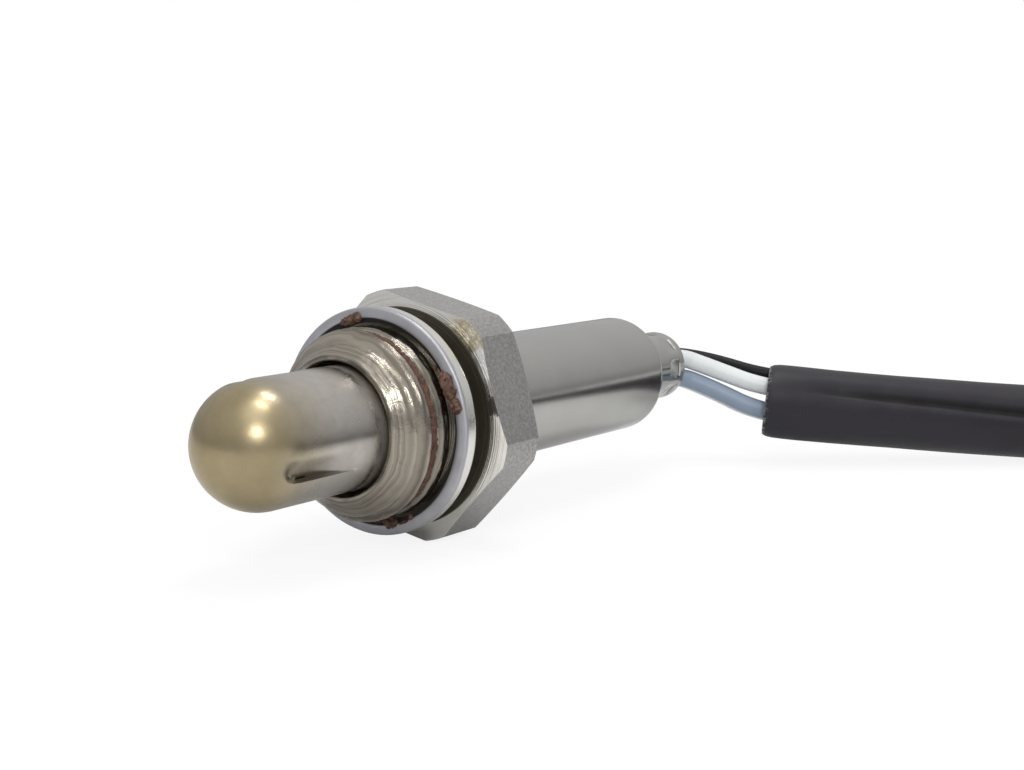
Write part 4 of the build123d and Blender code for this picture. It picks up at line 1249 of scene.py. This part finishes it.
class OXYSENSOR_OT_casing(bpy.types.Operator):
    """Makes the drawn casing with its crimped boss, and dresses the grommet"""
    bl_idname = "oxygen_sensor.casing"
    bl_label = "Casing"

    def execute(self, context):
        bm = bmesh.new()
        spin_outline(bm, self.profile(0.0) + self.profile(CASING_WALL)[::-1], 192)
        sector = 2 * math.pi / CRIMP_FLATS
        for vert in bm.verts:
            radius, y, angle = round_axis(vert.co)
            if CRIMP_Y <= y <= CRIMP_Y + CRIMP_WIDTH and radius > BOSS_R - 0.3:
                off = (angle + sector / 2) % sector - sector / 2
                share = min(1.0, CRIMP_R / math.cos(off) / radius)
                vert.co.x *= share
                vert.co.z *= share
        as_piece(mesh_object("drawn_casing", bm), [casing_material(settings().metal)], ["casing_sleeve"])
        dress(moulded_material("grommet_rubber", (0.05, 0.03, 0.025), 0.5), "wire_grommet")
        return {"FINISHED"}

    def profile(self, offset):
        """The casing's outside moved in by offset, from the hexagon to the rolled end."""
        big_r, small_r = CASING_R - offset, BOSS_R - offset
        edge, fillet, end = CASING_EDGE - offset, BOSS_BLEND + offset, BOSS_EDGE - offset
        face_y, end_y = CASING_SHOULDER_Y - offset, BOSS_REAR_Y - offset
        points = [(big_r, y) for y in (HEX_LENGTH + 0.02, 8.0, 14.0, 20.0, 26.0, 32.0)]
        points += arc(big_r - edge, face_y - edge, edge, 0, 90, 10)
        points += arc(small_r + fillet, face_y + fillet, fillet, 270, 180, 6)
        points += [(small_r, CRIMP_Y + y) for y in (-0.15, 0, 0.7, 1.5, CRIMP_WIDTH, CRIMP_WIDTH + 0.15)]
        points += arc(small_r - end, end_y - end, end, 0, 90, 8)
        return points


class OXYSENSOR_OT_inside(bpy.types.Operator):
    """Dresses the ceramic, the heater, the packing and the contacts inside"""
    bl_idname = "oxygen_sensor.inside"
    bl_label = "Inside"

    def execute(self, context):
        dress(ceramic_material("zirconia", (0.72, 0.68, 0.6)), "zirconia_element")
        dress(ceramic_material("alumina", (0.8, 0.78, 0.74)), "ceramic_bush", "ceramic_carrier", "heater_rod")
        dress(ceramic_material("talc", (0.62, 0.62, 0.6)), "talc_packing")
        dress(metal_material("contact_metal", (0.6, 0.58, 0.52)), "signal_contact", "ground_contact",
              "heater_contact_1", "heater_contact_2")
        dress(metal_material("seal_steel", (0.42, 0.42, 0.42)), "element_seal_washer", "crimp_ring",
              "carrier_spring")
        return {"FINISHED"}


class OXYSENSOR_OT_plug(bpy.types.Operator):
    """Dresses the plug, its blades, seals, lock and cap, and the tie round the coil"""
    bl_idname = "oxygen_sensor.plug"
    bl_label = "Plug"

    def execute(self, context):
        dress(moulded_material("plug_plastic", (0.028, 0.028, 0.03), 0.42, 0.35), "plug_housing")
        dress(moulded_material("plug_lock_plastic", (0.24, 0.25, 0.26), 0.4), "plug_retainer")
        dress(moulded_material("plug_cap_plastic", (0.05, 0.05, 0.05), 0.45), "plug_end_cap")
        dress(moulded_material("seal_rubber", (0.14, 0.045, 0.03), 0.38), "plug_wire_seals")
        dress(metal_material("blade_metal", (0.62, 0.6, 0.55), 0.25), "plug_blades")
        dress(moulded_material("tie_nylon", (0.018, 0.018, 0.018), 0.4), "coil_tie")
        return {"FINISHED"}


# ================================================================== stage
class OXYSENSOR_OT_stage(bpy.types.Operator):
    """Makes the white floor, the room's light and the lamps"""
    bl_idname = "oxygen_sensor.stage"
    bl_label = "Stage"

    def execute(self, context):
        look = settings().stage
        bm = bmesh.new()
        bmesh.ops.create_grid(bm, x_segments=1, y_segments=1, size=FLOOR_HALF,
                              matrix=Matrix.Translation((0, 0, FLOOR_Z * MM - FLOOR_GAP)))
        floor = mesh_object("floor", bm)
        floor.data.materials.append(self.floor_material(look))
        self.room(context, look)
        for name, place, size, power in (("key_lamp", KEY_LAMP, KEY_LAMP_SIZE, look.key),
                                         ("small_lamp", SMALL_LAMP, SMALL_LAMP_SIZE, look.spot)):
            place = Vector(place)
            self.lamp(name, power, "DISK", size, size, place, place.to_track_quat("Z", "Y").to_matrix())
        for number, (start, end) in enumerate(BAR_LAMPS, 1):
            start, end = Vector(start), Vector(end)
            back = ((start + end) / 2).normalized()
            across = back.cross((end - start).normalized()).normalized()
            turn = Matrix((across.cross(back), across, back)).transposed()
            self.lamp("ceiling_lamp_%d" % number, look.bars, "RECTANGLE", (end - start).length, BAR_WIDTH,
                      (start + end) / 2, turn)
        context.scene.view_settings.view_transform = "Standard"
        return {"FINISHED"}

    def floor_material(self, look):
        """White floor. The camera, and what mirrors the open floor in front, see it as an even white."""
        made = Surface("white_floor")
        material = made.done(look.floor, 0.9, 0.0)
        path = made.add("LightPath").outputs
        seen = made.times(path["Is Camera Ray"], made.span(made.length(made.coords), 0.12, 0.5, 0.85, 1.0))
        aside = made.part("X")
        ahead = made.calc("MAXIMUM", 0.0, made.minus(TIP_END, made.part("Y")))
        away = made.length(made.add("CombineXYZ", X=aside, Y=ahead).outputs[0])
        open_floor = made.times(made.span(away, 0.008, 0.03, 0.0, 0.85),
                                made.span(made.calc("ABSOLUTE", aside), 0.02, 0.05, 1.0, 0.35))
        white = made.calc("ADD", seen, made.times(path["Is Glossy Ray"], open_floor), clamp=True)
        glow = made.add("Emission", Color=(1, 1, 1), Strength=FLOOR_GLOW)
        shader = made.tree.nodes["Principled BSDF"]
        mix = made.fed(made.add("MixShader"), (white, shader.outputs[0], glow.outputs[0]))
        made.feed(made.tree.nodes["Material Output"].inputs["Surface"], mix)
        return material

    def room(self, context, look):
        """Soft light from all sides, brighter above, and white where the camera looks past the floor."""
        world = bpy.data.worlds.new("room")
        context.scene.world = world
        world.use_nodes = True
        made = Nodes(world.node_tree)
        height = made.part("Z", made.add("TexCoord").outputs["Generated"])
        grey = made.blend(made.span(height, 0.0, 0.7), (0.6, 0.6, 0.62), (1.0, 1.0, 1.0))
        grey = made.blend(made.span(height, 0.0, 0.14), (0.38, 0.38, 0.39), grey)
        light = made.add("Background", Color=grey, Strength=look.world)
        white = made.add("Background", Color=(1, 1, 1), Strength=1.0)
        seen = made.add("LightPath").outputs["Is Camera Ray"]
        mix = made.fed(made.add("MixShader"), (seen, light.outputs[0], white.outputs[0]))
        made.feed(made.tree.nodes["World Output"].inputs["Surface"], mix)

    def lamp(self, name, power, shape, size, width, place, turn):
        """An area lamp with a size and width in metres, at a place, turned to shine on the sensor."""
        data = bpy.data.lights.new(name, "AREA")
        data.shape = shape
        data.size, data.size_y = size, width
        data.energy = power
        placed(name, data).matrix_world = Matrix.Translation(place) @ turn.to_4x4()


# ================================================================== panel and registration
OPERATORS = (
    OXYSENSOR_OT_camera,
    OXYSENSOR_OT_wires,
    OXYSENSOR_OT_sleeving,
    OXYSENSOR_OT_tube,
    OXYSENSOR_OT_shell,
    OXYSENSOR_OT_gasket,
    OXYSENSOR_OT_casing,
    OXYSENSOR_OT_inside,
    OXYSENSOR_OT_plug,
    OXYSENSOR_OT_stage,
)


class OXYSENSOR_PT_panel(bpy.types.Panel):
    """Lists the sensor's pieces and settings"""
    bl_idname = "OXYSENSOR_PT_panel"
    bl_label = "Oxygen Sensor"
    bl_space_type = "VIEW_3D"
    bl_region_type = "UI"
    bl_category = "Oxygen Sensor"

    def draw(self, context):
        layout = self.layout
        for operator in OPERATORS:
            layout.operator(operator.bl_idname)
        look = settings()
        for group in (look.metal, look.thread, look.lead, look.stage):
            box = layout.box()
            for name in group.bl_rna.properties.keys():
                if name not in ("rna_type", "name"):
                    box.prop(group, name)


CLASSES = (
    OXYSENSOR_PG_metal,
    OXYSENSOR_PG_thread,
    OXYSENSOR_PG_lead,
    OXYSENSOR_PG_stage,
    OXYSENSOR_PG_all,
    *OPERATORS,
    OXYSENSOR_PT_panel,
)


def register():
    for item in CLASSES:
        bpy.utils.register_class(item)
    bpy.types.Scene.oxygen_sensor = PointerProperty(type=OXYSENSOR_PG_all)


def unregister():
    del bpy.types.Scene.oxygen_sensor
    for item in reversed(CLASSES):
        bpy.utils.unregister_class(item)


def main():
    register()
    build_effects()
    for operator in OPERATORS:
        group, name = operator.bl_idname.split(".")
        getattr(getattr(bpy.ops, group), name)()


if __name__ == "__main__":
    main()
